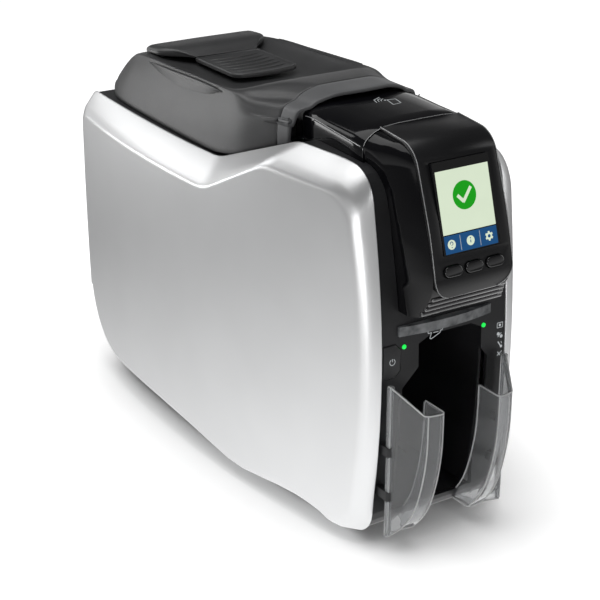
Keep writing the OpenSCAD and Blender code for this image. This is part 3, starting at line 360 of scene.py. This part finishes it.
def side_line(rear, top, ramp, high, nose, low, wave):
    """Side view of a line round a panel, from its rear edge over the top, down the ramp and
    the nose, and back along the sill. The ramp is given by its upper and lower depth."""
    base = low + wave * sill(130)
    return (corner((rear, 150), (rear, top), (0, top), 10)
            + corner((100, top), (ramp[0], top), (ramp[1], high), 45)
            + corner((ramp[0], top), (ramp[1], high), (-150, high - 2), 30)
            + corner((ramp[1], high), (nose_y(high - 17) + nose + 2, high - 2),
                     (nose_y(high - 32) + nose, high - 32), 22)
            + [Vector((nose_y(z) + nose, z)) for z in
               [high - 44 - i * (high - 80) / 10 for i in range(11)]]
            + corner((nose_y(40) + nose, 40), (nose - 157, low), (0, low), 20)
            + [Vector((y, low + wave * sill(y))) for y in range(-128, 129, 16)]
            + corner((0, base), (rear - 11, base), (rear - 1, 70), 50)
            + [Vector((rear + 1.5 - 0.0004 * (z - 125) ** 2, z)) for z in range(60, 151, 30)])


def dense(line, like):
    """The line with its long runs cut into steps, as the like one's are."""
    out = []
    for i, point in enumerate(line):
        j = (i + 1) % len(line)
        cuts = max(1, int((like[j] - like[i]).length // 8))
        out += [point.lerp(line[j], k / cuts) for k in range(cuts)]
    return out


def round_corner(a, b, c, before, after):
    """Five rings that round the corner at ring b, from its share of a to its share of c."""
    out = []
    for t in (0, 0.25, 0.5, 0.75, 1):
        out.append([y.lerp(x, before).lerp(y, t).lerp(y.lerp(z, after), t)
                    for x, y, z in zip(a, b, c)])
    return out


rim_plain = side_line(187, 213, (-4, -86), 243.5, 0, 4, 0)
rim_line = dense(rim_plain, rim_plain)
crease_line = dense(side_line(190, 198, (-10, -75), 231, 4.5, 9.3, 1), rim_plain)


def on_panel(line, share, inner=0.0):
    """The line drawn in towards the panel's middle, on its bowed face."""
    middle = Vector((panel_y, panel_z))
    out = []
    for point in line:
        y, z = middle.lerp(point, share)
        out.append(Vector((face_x(y) - inner, y, z)))
    return out


top_rim = [Vector((edge_x(y), y, z)) for y, z in rim_line]
hub = Vector((0, panel_y, panel_z))
low_rim = [Vector((p.x, p.y + panel_wall * (panel_y - p.y) / max(1, (p - hub).length),
                   p.z + panel_wall * (panel_z - p.z) / max(1, (p - hub).length)))
           for p in top_rim]
crease = on_panel(crease_line, 1)
flat = on_panel(crease_line, 0.96)
panel_rings = ([on_panel(crease_line, k, panel_wall) for k in (0.04, 0.4, 0.8, 0.965)]
               + [low_rim]
               + round_corner(low_rim, top_rim, crease, 0.4, 0.07)
               + round_corner(top_rim, crease, flat, 0.3, 0.8)
               + [on_panel(crease_line, 0.95 - 0.07 * k) for k in range(14)])
for side, name in ((1, "right_side_panel"), (-1, "left_side_panel")):
    bm = drape(panel_rings)
    bmesh.ops.scale(bm, vec=(side, 1, 1), verts=bm.verts)
    piece(name + "_moulding", bm, silver, "body", [name])

# ------------------------------------------------------------------ lid
# The ribbon bay's lid: one black moulding, scooped round the release button, whose
# shoulders run forward into the arch over the head's cover.
lid_wall = 2.4
seam_flat, seam_gap = 211.5, 0.6                           # top deck, and the gap above it
ramp_y, ramp_rise, ramp_run = -4, 30.5, 82                 # slope of the seam at the front


def flow(points, steps):
    """Points of a smooth curve through the given ones."""
    ends = [points[0] * 2 - points[1]] + points + [points[-1] * 2 - points[-2]]
    out = []
    for a, b, c, d in zip(ends, ends[1:], ends[2:], ends[3:]):
        for t in [k / steps for k in range(steps)]:
            out.append((b * 2 + (c - a) * t + (a * 2 - b * 5 + c * 4 - d) * t ** 2
                        + (b * 3 - a - c * 3 + d) * t ** 3) * 0.5)
    return out + [points[-1]]


def both_sides(half):
    """A half line from the right seam to the middle, and its mirror image."""
    return half + [Vector((-p.x, *p[1:])) for p in reversed(half[:-1])]


def seam_z(y):
    """Height of the lid's lower edge at depth y."""
    return seam_flat + max(0, ramp_y - y) * ramp_rise / ramp_run + seam_gap


def lid_line(s):
    """Cross-section of the lid at a station: depth, seam width and height, shoulder width,
    height and roll, floor width, and height in the middle."""
    seam, seam_h, out, high, roll, floor, mid = s[1:]
    rise = mid - high
    return both_sides([Vector(p) for p in (
        (seam, seam_h), (seam * 0.62 + out * 0.38 + 0.8, seam_h * 0.66 + high * 0.34),
        (seam * 0.28 + out * 0.72 + 0.8, seam_h * 0.33 + high * 0.67), (out, high - roll),
        (out - roll * 0.35, high - roll * 0.2), (out - roll - 1.2, high + rise * 0.12),
        ((out - roll) * 0.62 + floor * 0.38, high + rise * 0.55), (floor, high + rise * 0.94),
        (floor * 0.5, mid), (0, mid))])


lid_stations = [Vector(v) for v in (
    (175, 45.5, seam_z(0) + 3.4, 44, 218.5, 0.5, 24, 218.5),
    (168, 50, seam_z(0) + 1, 47, 224, 2, 26, 224.4),
    (158, 53.5, seam_z(0), 48.5, 232, 3, 28, 232.6),
    (147, 55.5, seam_z(0), 49.5, 239.8, 3, 28, 240.4),
    (137, 56.5, seam_z(0), 50, 246.2, 3, 30, 246.9),
    (127, 57.3, seam_z(0), 50.2, 249.6, 2.4, 30, 249.5),
    (100, 58.5, seam_z(0), 52, 251.8, 1.5, 32, 246.5),
    (70, 59.2, seam_z(0), 52.9, 252.6, 1.2, 34, 245.5),
    (35, 59.5, seam_z(0), 53.2, 254, 1.2, 34, 245.5),
    (8, 59.3, seam_z(0) + 0.5, 53.9, 255, 1.5, 34, 248.5),
    (-12, 58.5, seam_z(-12) + 0.8, 54.3, 255.6, 3, 34, 257.5),
    (-26, 56.7, seam_z(-26), 53.5, 254, 6, 32, 262),
    (-42, 52.5, seam_z(-42), 50, 255.5, 9, 25, 264.2),
    (-54, 49, seam_z(-54), 47, 257, 9.5, 21, 265))]


def section(s, steps=4):
    """The lid's smooth cross-section at a station."""
    return [Vector((p.x, s[0], p.y)) for p in flow(lid_line(s), steps)]


bm = thicken(drape([section(s) for s in flow(lid_stations, 5)], False), lid_wall)
piece("lid_moulding", bm, finishes["lid_plastic"], "lid", ["lid_shell"], 0.4)

# ------------------------------------------------------------------ arch band
# A lighter satin moulding clipped to the front of the lid. It is wide over the top and
# narrow at the sides, and its front edge is rolled under.
arch_front, arch_sweep, arch_half = -77, 9, 46             # front edge, drawn back at the sides
arch_end = Vector((-60, 48, seam_z(-66), 46.5, 257.5, 9.5, 20, 265))
back = section(lid_stations[-1])
front = [Vector((p.x, arch_front + arch_sweep * (p.x / arch_half) ** 2
                 + 1.5 * held((252 - p.z) / 14, 0, 1), p.z)) for p in section(arch_end)]
bm = thicken(drape([[a.lerp(b, k) for a, b in zip(back, front)] for k in
                    (0.01, 0.2, 0.4, 0.6, 0.8, 1)], False), lid_wall)
piece("arch_moulding", bm, finishes["grey_band"], "lid", ["arch_band"], 0.7,
      segments=3)

# ------------------------------------------------------------------ rear cap of the lid
# A raised black cap with rounded ends, moulded like the lid and snapped on behind the
# release button, whose pins it covers.
def cap_line(y, wide, low, top_wide, high):
    """Cross-section of the cap at depth y."""
    rise = high - low
    return flow(both_sides([Vector(p) for p in (
        (wide, y, low), (wide - 0.2, y, low + rise * 0.55),
        ((wide + top_wide) / 2 + 1, y, low + rise * 0.86), (top_wide, y, high - 0.12),
        (top_wide * 0.5, y, high), (0, y, high + 0.1))]), 3)


cap_stations = [Vector(v) for v in (
    (90.6, 23.6, 250.6, 22.6, 251.4), (95, 27, 250.6, 25.5, 252.9), (101, 33, 250.6, 30, 255.1),
    (106, 38.6, 250.6, 33, 256), (112, 42.4, 250.6, 35, 256.1), (120, 43, 250.1, 36, 255.5),
    (127, 43, 250, 36, 254.8), (129.6, 42.3, 249.9, 35, 253.8), (130, 41.5, 249.8, 34, 251.6))]
bm = drape([cap_line(*s) for s in flow(cap_stations, 3)])
piece("rear_cap_moulding", bm, finishes["lid_plastic"], "lid", ["lid_rear_cap"],
      0.5, 40)

# ------------------------------------------------------------------ release button
# A pad that tilts on two pins under the cap, moulded like the lid, with curved grip ribs
# and a thin rim. A tongue behind it carries the pins' barrel.
pad_half, pad_mid, barrel_r = 25, 62, 0.9
rib_count, rib_pitch, rib_half, rib_curve, rib_top = 6, 7, 21.5, 60, 250.7
button_line = both_sides([Vector((pad_half, y)) for y in (90.2, 84, 70, 58, 48)]
                         + corner((pad_half, 60), (pad_half, 37), (0, 29.5), 8)
                         + [Vector((9, 33.6)), Vector((0, 32.8))])
bm = drape([[Vector((p.x * k, pad_mid + (p.y - pad_mid) * k, z)) for p in button_line]
            for k, z in ((0.2, 248.1), (0.96, 248.1), (1, 248.7), (1, 250.6), (0.99, 251.2),
                         (0.97, 251.5), (0.945, 251.5), (0.93, 251.1), (0.9, 250.9),
                         (0.5, 250.7), (0.1, 250.7))])
bmesh.ops.create_cube(bm, size=1, matrix=Matrix.Translation((0, 93.9, 249.15))
                      @ Matrix.Diagonal((34, 9, 2.1, 1)))
bmesh.ops.create_cone(bm, cap_ends=True, segments=20, radius1=barrel_r, radius2=barrel_r,
                      depth=40, matrix=Matrix.Translation((0, 96, 249.2))
                      @ Matrix.Rotation(pi / 2, 4, "Y"))
ribs = []
for i in range(rib_count):
    path = []
    for k in range(17):
        x = -rib_half + 2 * rib_half * k / 16
        y = 102.5 + i * rib_pitch - (rib_curve ** 2 - x * x) ** 0.5 + 0.4
        tip = 1 - abs(k / 8 - 1) ** 8
        path.append([Vector((x, y, rib_top)) + Vector((0, 1.2 * cos(t), 0.8 * tip * sin(t) - 0.1))
                     for t in (0, 0.7, 1.2, 1.94, 2.44, pi, 3.9, 5.5)])
    ribs.append(drape(path))
piece("release_pad", joined([bm] + ribs), finishes["lid_plastic"], "release_button",
      ["release_button"])

# ------------------------------------------------------------------ head cover
# The crowned cover between the display and the arch: a glossy black moulding with upright
# sides, clipped onto the housing. It narrows a little where it runs under the arch.
cover_half, cover_foot, cover_edge, cover_top, cover_wall = 40, 231, 254.6, 259.9, 2.4


def cover_section(y):
    """Cross-section of the cover at depth y."""
    k = held((y + 84) / 18, 0, 1) ** 1.5
    wide, edge = cover_half - 1.8 * k, cover_edge + (y + 74) * 0.088 - 3.4 * k
    rise = cover_top - 0.8 * k - edge
    return both_sides([Vector(p) for p in (
        (wide, y, cover_foot), (wide, y, (edge + cover_foot) / 2), (wide, y, edge - 2),
        (wide - 0.3, y, edge - 0.6),
        (wide - 1.4, y, edge + rise * 0.22), (wide - 3.6, y, edge + rise * 0.44),
        (wide - 8, y, edge + rise * 0.72), (wide - 15, y, edge + rise * 0.94),
        (wide - 25, y, edge + rise), (0, y, edge + rise * 1.01))])


cover_depths = (-66, -69, -72, -75, -78, -81, -84, -96, -108, -120, -132.7)
bm = thicken(drape([cover_section(y) for y in cover_depths], False), cover_wall)
piece("cover_moulding", bm, finishes["gloss_black"], "body", ["head_cover"], 0.3)

# ------------------------------------------------------------------ display head
# A glossy black moulding, screwed on from behind, whose sides are cut back in a chamfer
# from the display face to the front frame. It is open behind the screen and the keys.
head_rear, frame_top, seat_rise = -133, 231, 18.4          # seat on the front frame
face_half, pocket_half, pocket_deep = 28, 24, 12
face_mid_y, face_mid_z, face_lean = -179.6, 221, 16.6      # middle of the face, and degrees
lean_sin, lean_cos = 0.2857, 0.9583                        # of that lean


def face_line(d):
    """Side view of the display face from its crown to its chin, moved in by d."""
    c = [Vector((y + (d if y < head_rear else 0), z + (-d if z > 200 else d))) for y, z in (
        (head_rear, 259.5), (-166, 256.5), (-184, 207), (-190.5, 179), (-188.5, 170.5),
        (-177, 156.5))]
    return ([c[0], c[0].lerp(c[1], 0.3)] + corner(c[0], c[1], c[2], 18, 9)
            + corner(c[1], c[2], c[3], 200, 6) + corner(c[2], c[3], c[4], 20, 5) + [c[4]])


def foot_y(z):
    """Depth of the line where the chamfer meets the front frame."""
    skin = nose_y(frame_top) + 0.7
    if z > frame_top:
        return skin + (head_rear - skin) * min(1, (z - frame_top) / seat_rise) ** 2.2
    return nose_y(z) + 0.7 - 8 * max(0, 176 - z) / 19


def foot_x(z):
    """Half width of that line."""
    if z > frame_top:
        return 35.5 + 4.5 * min(1, (z - frame_top) / seat_rise)
    return 35 + (z - 200) / (62 if z > 200 else 22)


front = face_line(2.2)
head_side = front + [Vector(p) for p in (
    (-177, 156.5), (-160, 156.5), (-146, 156.5), (-140, 190), (head_rear, 225),
    (head_rear, 234.6))]
foot = []
for i, p in enumerate(head_side):
    z = p.y
    if z > face_mid_z:
        z = face_mid_z + (z - face_mid_z) * 28.4 / (front[0].y - face_mid_z)
    foot.append(Vector((foot_x(z), foot_y(z) if i <= len(front) else p.x, z)))
rim = [Vector((face_half, *p)) for p in head_side]
head_rings = []
for k in (0, 0.12, 0.26, 0.4, 0.54, 0.68, 0.82, 0.93, 1):
    between = []
    for i, (a, b) in enumerate(zip(foot, rim)):
        swell = 4 * k * (1 - k) * (held((b.z - face_mid_z) / 30, 0, 1) if i < len(front) else 0)
        between.append(a.lerp(b, k) + Vector((0, -1, 2)) * swell)
    head_rings.append(between)


def hollow(p):
    """A point of the side line, sunk behind the screen and keys."""
    up = (p.x - face_mid_y) * lean_sin + (p.y - face_mid_z) * lean_cos
    sunk = -43 < up < 27 and p.x < -160
    return p + Vector((lean_cos, -lean_sin)) * (pocket_deep if sunk else 0)


half_rings = head_rings[:]
head_rings.append([Vector((pocket_half + 0.2, *p)) for p in head_side])
head_rings += [[Vector((x, *hollow(p))) for p in head_side] for x in (pocket_half, -pocket_half)]
head_rings.append([Vector((-pocket_half - 0.2, *p)) for p in head_side])
head_rings += [mirrored_line(ring) for ring in reversed(half_rings)]
piece("head_moulding", drape(head_rings), finishes["gloss_black"], "body", ["head_housing"])

# ------------------------------------------------------------------ display face and keys
# A satin black face plate with a rounded rim, and three glossy pill keys in their slots.
# The power button beside the card bin is a plain black cap with softened edges.
def as_made(*nodes):
    """The CAD pieces' own meshes, in millimetres, merged and with their flats joined."""
    bm = bmesh.new()
    for name in nodes:
        mesh = frame["nodes"][name].data.copy()
        mesh.transform(frame["nodes"][name].matrix_world)
        bm.from_mesh(mesh)
        bpy.data.meshes.remove(mesh)
    bmesh.ops.scale(bm, vec=(1000, 1000, 1000), verts=bm.verts)
    bmesh.ops.remove_doubles(bm, verts=bm.verts, dist=0.003)
    bmesh.ops.dissolve_limit(bm, angle_limit=radians(0.6), verts=bm.verts, edges=bm.edges)
    return bm


piece("face_moulding", as_made("display_face"), finishes["face_black"], "body", ["display_face"],
      0.3, 42)
for key in ("left_key", "middle_key", "right_key"):
    piece(key + "_cap", as_made(key), finishes["key_black"], key, [key], 0.8, 60, 4)
piece("power_cap", as_made("power_button"), finishes["button_grey"], "power_button",
      ["power_button"], 0.6, 60, 3)

# ------------------------------------------------------------------ screen and printed signs
# A lit picture behind the window: a green disc with a tick over a blue bar of three
# buttons. The other signs are printed on the covers, and their white glows like the screen's:
# a painted glow in place of lamplight on the print.
def lit(name, colour, strength):
    """A colour that glows by itself and doesn't depend on the lamps: the lit screen's, and the
    printed signs', whose glow is painted.
    """
    mat, where, surface = new_material(name)
    tone = where.noise(90, 2.0).tint([c * 0.94 for c in colour], colour)
    surface.inputs["Base Color"].default_value = (0.02, 0.02, 0.02, 1)
    where.put(surface.inputs["Emission Color"], tone)
    surface.inputs["Emission Strength"].default_value = strength
    surface.inputs["Roughness"].default_value = 0.3
    surface.inputs["Specular IOR Level"].default_value = 0.1
    return mat


def signs(name, place, tints, marks, body):
    """Flat marks on a surface: strokes (x, y, x, y, width) and discs (x, y, radius), each
    with the number of its tint and its level before it."""
    bm = bmesh.new()
    for tint, level, *mark in marks:
        if len(mark) == 5:
            a, b = Vector(mark[:2]), Vector(mark[2:4])
            run = b - a
            lie = (Matrix.Translation((*(a + b) / 2, level))
                   @ Matrix.Rotation(atan2(run.y, run.x), 4, "Z")
                   @ Matrix.Diagonal((run.length / 2 + 0.01, mark[4] / 2, 1, 1)))
            made = bmesh.ops.create_grid(bm, x_segments=1, y_segments=1, size=1, matrix=lie)
        else:
            made = bmesh.ops.create_circle(bm, cap_ends=True, segments=40, radius=mark[2],
                                           matrix=Matrix.Translation((*mark[:2], level)))
        for face in {f for v in made["verts"] for f in v.link_faces}:
            face.material_index = tint
    for v in bm.verts:
        v.co = place(v.co) if callable(place) else place @ v.co
    made = piece(name, bm, tints[0], body, ())
    for tint in tints[1:]:
        made.data.materials.append(tint)
    return made


def ring(tint, level, x, y, r, width, start=0, end=360, step=20):
    """An arc of short strokes."""
    return [(tint, level, x + r * cos(radians(t)), y + r * sin(radians(t)),
             x + r * cos(radians(t + step)), y + r * sin(radians(t + step)), width)
            for t in range(start, end, step)]


on_face = (Matrix.Translation((0, face_mid_y, face_mid_z))
           @ Matrix.Rotation(radians(90 - face_lean), 4, "X"))
white_glow_print_and_screen, green, blue, pale, dark_glass = (
    lit("white_sign", (0.78, 0.82, 0.84), 0.55), lit("green_sign", (0.0, 0.34, 0.0), 0.95),
    lit("blue_sign", (0.002, 0.075, 0.23), 0.85), lit("screen_light", (0.77, 0.88, 0.68), 0.9),
    lit("unlit_glass", (0.004, 0.004, 0.005), 0.0))
ask_x, info_x, gear_x, button_y = -14, -0.5, 12.9, -20.4
picture = [(0, 0, -20.2, 0.5, 20.2, 0.5, 52.8), (1, 0.04, -18.8, 3.6, 18.8, 3.6, 36.2),
           (2, 0.04, -18.8, -20.3, 18.8, -20.3, 10.4), (3, 0.08, -0.4, 5.9, 8.3)]
picture += [(1, 0.12, -5.4, 6.4, -1.4, 2.2, 2), (1, 0.12, -1.9, 2, 4.6, 9.9, 2)]
picture += [(4, 0.08, x, -24.6, x, -16, 0.35) for x in (-7.6, 6.4)]
picture += [(1, 0.08, x, button_y, r) for x, r in ((ask_x, 2.8), (info_x, 2.8), (gear_x, 2.1))]
picture += [(1, 0.08, gear_x, button_y, gear_x + 2.8 * cos(radians(t)),
             button_y + 2.8 * sin(radians(t)), 1.3) for t in range(30, 390, 60)]
picture += [(2, 0.12, gear_x, button_y, 1), (2, 0.12, info_x, -21.6, info_x, -20, 0.6),
            (2, 0.12, info_x, -18.9, 0.4), (2, 0.12, ask_x, -21, ask_x, -20.6, 0.5),
            (2, 0.12, ask_x, -22, 0.35)]
picture += ring(2, 0.12, ask_x, -19.7, 0.95, 0.5, -60, 200)
signs("screen_picture", on_face @ Matrix.Translation((0, 0, -0.13)),
      [dark_glass, pale, blue, green, white_glow_print_and_screen], picture, "body")


def on_front(level):
    """Wraps a flat sheet of marks onto the bowed front, this far in front of it."""
    return lambda p: Vector((p.x, nose_y(p.y) + 1.5 - level - p.z, p.y))


card = [(-12.4, 136), (-11.8, 137.6), (-1.4, 137.2), (-1.6, 135.6), (-3.1, 135.4), (-3.4, 133.6),
        (-9.9, 130.1), (-10.9, 130.9), (-9.7, 135.4), (-12, 135.2), (-12.4, 136)]
card = [(x, 133.9 + (z - 130.1) * 0.75) for x, z in card]
front_marks = [(0, 0, *a, *b, 0.45) for a, b in zip(card, card[1:])]
front_marks += [(0, 0, -8.3, 137.6, -4.6, 137.4, 0.4)]
front_marks += [(0, 0, *a, *b, 0.4) for a, b in zip(
    [(40.2, 129), (44.4, 129), (44.4, 132.2), (40.2, 132.2)],
    [(44.4, 129), (44.4, 132.2), (40.2, 132.2), (40.2, 129)])]
front_marks += [(0, 0, *mark) for mark in (
    (42.3, 130.6, 0.9), (40.9, 122.9, 43.6, 125.4, 0.5), (41.2, 125, 1.1), (43.6, 123, 1.1),
    (41.2, 119.8, 43.4, 116.4, 0.7), (43.8, 116.2, 0.9), (43.6, 119.6, 44.2, 118, 0.4),
    (41, 110.4, 44.6, 113, 0.5), (41.2, 113, 43.2, 110.2, 0.5), (44.4, 110.6, 0.6))]
# The printed signs' white glows by itself, a painted glow rather than lamplight on the print; so do
# the power and tap signs below.
signs("front_signs", on_front(0.06), [white_glow_print_and_screen], front_marks, "body")
power_x, power_z = -38.5, 126
signs("power_sign", on_front(0.66), [white_glow_print_and_screen],
      ring(0, 0, power_x, power_z, 1.9, 0.45, -240, 60)
      + [(0, 0, power_x, 126.2, power_x, 128.6, 0.45)], "power_button")
tap = [((-1.7, -91.9), (0, -86.5)), ((0, -86.5), (6.2, -83.2)), ((0.6, -91.2), (1.8, -87.6)),
       ((1.8, -87.6), (5.2, -85.8)), ((2.6, -91), (3.4, -88.7)), ((3.4, -88.7), (6.2, -87.2)),
       ((7, -90.2), (12.6, -91.2)), ((12.6, -91.2), (10.6, -99.7)), ((10.6, -99.7), (4.3, -100.6)),
       ((4.3, -100.6), (7, -90.2))]


def on_crown(p):
    """Lays a mark on the middle of the head cover."""
    return Vector((p.x, p.y, cover_section(p.y)[9].z - 0.02 * abs(p.x) / 5 + 0.07 + p.z))


signs("tap_sign", on_crown, [white_glow_print_and_screen],
      [(0, 0, *a, *b, 0.5) for a, b in tap] + [(0, 0, 5.6, -90.2, 0.8)], "body")

# ------------------------------------------------------------------ chin ridges
# Four glossy ridges moulded across the slope under the display. They get longer towards
# the foot of the slope, and their ends are rounded.
ridge_r, ridge_long = 1.5, 52
bm = bmesh.new()
for t in (0.17, 0.39, 0.61, 0.83):
    bmesh.ops.create_cone(bm, cap_ends=True, segments=20, radius1=ridge_r, radius2=ridge_r,
                          depth=ridge_long + 8 * t, matrix=Matrix.Translation(
                              (0, -186.3 + 9.3 * t, 172.7 - 16.2 * t))
                          @ Matrix.Rotation(pi / 2, 4, "Y"))
piece("chin_ridges", bm, finishes["chin_black"], "body", (), 0.8, 60, 3)

# ------------------------------------------------------------------ hopper wings
# Clear mouldings that hold the cards. Each turns on a vertical pin at its outer rear edge,
# has a step in its top edge, and sweeps back towards its floor. The edges are polished, and
# light grey beads along them are painted highlights for the light that they catch.
wing_wall, wing_reach, wing_floor, wing_top, step_top = 1.8, -194, 12.2, 113, 100
pin_x, pin_y, bore_r, knuckle_r = 42.5, -169.5, 0.95, 2.2


def tube(points, r):
    """A thin bead along a line of points."""
    rings = []
    for k, p in enumerate(points):
        run = (points[min(k + 1, len(points) - 1)] - points[max(k - 1, 0)]).normalized()
        side = (side - run * side.dot(run) if rings else run.orthogonal()).normalized()
        up = run.cross(side)
        rings.append([p + (side * cos(t * pi / 4) + up * sin(t * pi / 4)) * r for t in range(8)])
    return drape(rings)


def wing_front(z):
    """Depth of a wing's front at height z."""
    return wing_reach + 9 * (max(0, 86 - z) / 50) ** 2 + 5 * (max(0, 36 - z) / 24) ** 2


def wing_path(z):
    """Plan of a right wing's wall at height z."""
    f = wing_front(z)
    return ([Vector((43.6, -168.6)), Vector((43.2, -170.6))]
            + corner((43.7, -169), (31.5, f + 1.6), (20, f), 6, 6)
            + corner((31.5, f + 1.6), (20, f), (20, f + 20), 3, 6)
            + [Vector((20, f + 10)), Vector((20, f + 20))])


wall = []
for row in range(15):
    line = []
    for k in range(len(wing_path(step_top))):
        z = 60
        for _ in range(6):      # the plan changes with the height, so the height settles in steps
            x, y = wing_path(z)[k]
            top = wing_top - 13 * held((-173 - y) / 10, 0, 1) if x > 21 else step_top
            z = wing_floor + (top - wing_floor - 0.2) * row / 14
        line.append(Vector((x, y, z)))
    wall.append(line)
inner = Vector((31, -166, wing_floor))
wall = [[p.lerp(inner, k) for p in wall[0]] for k in (0.9, 0.5, 0.08)] + wall
for side, name in ((1, "right"), (-1, "left")):
    bm = thicken(drape(wall, False), wing_wall)
    if bm.calc_volume(signed=True) < 0:
        bmesh.ops.reverse_faces(bm, faces=bm.faces)
    for low, high in ((13, 36.6), (43.4, 66.6), (73.4, wing_top)):
        barrel = ((bore_r, low), (knuckle_r, low), (knuckle_r, high), (bore_r, high),
                  (bore_r, low))
        knuckle = drape([[Vector((pin_x + r * cos(k * pi / 12), pin_y + r * sin(k * pi / 12), z))
                          for k in range(24)] for r, z in barrel], capped=False)
        bm = joined([bm, knuckle])
    bmesh.ops.scale(bm, vec=(side, 1, 1), verts=bm.verts)
    piece(name + "_wing_moulding", bm, clear, name + "_wing", [name + "_hopper_wing"],
          0.4, 60, segments=3)
    # Light grey beads along the wall's top and foot and four upright edges: painted highlights.
    edges = [wall[-1], wall[3]] + [[row[k] for row in wall[3:]] for k in (1, 5, 12, -1)]
    bm = joined([tube(points, 0.5) for points in edges])
    bmesh.ops.scale(bm, vec=(side, 1, 1), verts=bm.verts)
    piece(name + "_wing_edges", bm, finishes["clear_edge"], name + "_wing", ())

# ------------------------------------------------------------------ painted edge highlights
# Grey beads along the rims of the black mouldings: painted highlights that stand in for the
# thin lines of light the rims catch. They run round the display face, across the front of the
# cover and along its two upper edges.
chin_round, rim_r, crown_r, side_r = 14, 0.28, 0.22, 0.25
face_rim = []
for p in flow(face_line(0), 2):
    inset = min(13.5, max(0, 184 - p.y))
    face_rim.append(Vector((chin_round + (chin_round ** 2 - inset ** 2) ** 0.5, p.x - 0.05, p.y)))
crown = [Vector((p.x, -132.9, p.z + 0.05)) for p in cover_section(-132.7)[2:-2]]
cover_rim = [cover_section(y)[3] + Vector((0.02, 0, 0)) for y in range(-130, -68, 4)]
lines = [tube(face_rim, rim_r), tube(mirrored_line(face_rim), rim_r), tube(crown, crown_r),
         tube(cover_rim, side_r), tube(mirrored_line(cover_rim), side_r)]
piece("polished_edges", joined(lines), finishes["bright_edge"], "body", ())

# ------------------------------------------------------------------ studio
# A white sweep under the printer, lit by soft boxes above, at the left and in front. The
# sweep is white to the camera and darker to what it lights, so that the shadow stays and
# the silver shows a slow gradient. It also glows: to the camera less near the printer, a
# painted contact shadow, and to mirroring rays most in front of the printer, a painted
# pool of light that the silver mirrors.
def rays(tree):
    """Whether a ray comes from the camera, from a mirroring or through something clear."""
    paths = tree.nodes.new("ShaderNodeLightPath")
    return [Val(tree, paths.outputs[name]) for name in
            ("Is Camera Ray", "Is Glossy Ray", "Is Transmission Ray")]


floor_mat, where, surface = new_material("sweep")
seen, mirrored, through = rays(where.tree)
where.put(surface.inputs["Base Color"], seen.tint((0.24, 0.24, 0.24), (0.8, 0.8, 0.8)))
surface.inputs["Roughness"].default_value = 0.9
surface.inputs["Specular IOR Level"].default_value = 0.0
# To mirroring rays the sweep glows most round a spot in front of the printer and less further off:
# a painted pool of light, which the silver mirrors as its gradient.
away = where.node("VectorMath", 1, {"operation": "LENGTH"},
                  Vector=where.node("Mapping", Vector=where, Location=(0.07, 0.22, 0)))
# Near the printer ambient occlusion dims the sweep's own glow to the camera: a painted contact
# shadow, added to the shadows the lamps cast.
shade = where.node("AmbientOcclusion", 1, {"samples": 8}, Distance=0.11)
near, far, near_glow, far_glow, clear_glow = 0.02, 0.66, 1.35, 0.1, 0.35
shine = where.node("Emission", Color=(1, 1, 1, 1), Strength=seen * shade.ramp(0.35, 0.97, 0.03, 0.8)
                   + mirrored * (1 - through) * away.ramp(near, far, near_glow, far_glow)
                   + through * clear_glow)
adder = where.tree.nodes.new("ShaderNodeAddShader")
where.tree.links.new(surface.outputs[0], adder.inputs[0])
where.tree.links.new(shine.socket, adder.inputs[1])
where.tree.links.new(adder.outputs[0], where.tree.nodes["Material Output"].inputs[0])
sweep_half = 6
bm = bmesh.new()
bmesh.ops.create_grid(bm, x_segments=2, y_segments=2, size=sweep_half)
sweep = bpy.data.objects.new("sweep", bpy.data.meshes.new("sweep"))
bm.to_mesh(sweep.data)
bm.free()
sweep.data.materials.append(floor_mat)
scene.collection.objects.link(sweep)

world = bpy.data.worlds.new("studio")
scene.world = world
world.use_nodes = True
tree = world.node_tree
back = tree.nodes["Background"]
seen, mirrored, through = rays(tree)
split = tree.nodes.new("ShaderNodeSeparateXYZ")
tree.links.new(tree.nodes.new("ShaderNodeTexCoord").outputs["Generated"], split.inputs[0])
low = Val(tree, split.outputs["Z"]).ramp(0.02, 0.3, 1, 0)
low_glow, high_glow, fill = 0.7, 0.07, 0.17
sky = mirrored * (low * low_glow + high_glow) + (1 - mirrored) * fill
low.put(back.inputs["Strength"], seen + through * 0.7 + (1 - seen - through) * sky)
back.inputs["Color"].default_value = (1, 1, 1, 1)

# Each lamp's name, place, what it points at, width, height (metres) and power (watts).
lights = [
    ("top", (-0.25, 0.15, 1.25), (0, 0, 0.1), 1.2, 1.2, 9.5),
    ("left_low", (-0.62, -0.5, 0.1), (-0.05, -0.1, 0.05), 0.4, 0.2, 1.15),
    ("left_rear", (-0.6, 1.1, 0.75), (0, 0.05, 0.23), 0.6, 0.5, 2.4),
    ("left_far", (-0.74, 0.97, 0.11), (0, 0.05, 0.23), 0.5, 0.2, 2.0),
    ("front", (-0.1, -1.5, 0.9), (0, -0.1, 0.12), 0.4, 0.4, 2.6),
    ("right", (1.3, -0.7, 0.5), (0, 0, 0.12), 0.3, 1.1, 3),
]
for name, place, target, wide, high, power in lights:
    lamp_data = bpy.data.lights.new(name, "AREA")
    lamp_data.shape = "RECTANGLE"
    lamp_data.size, lamp_data.size_y, lamp_data.energy = wide, high, power
    light = bpy.data.objects.new(name, lamp_data)
    scene.collection.objects.link(light)
    light.location = place
    light.rotation_euler = (Vector(target) - Vector(place)).to_track_quat("-Z", "Y").to_euler()
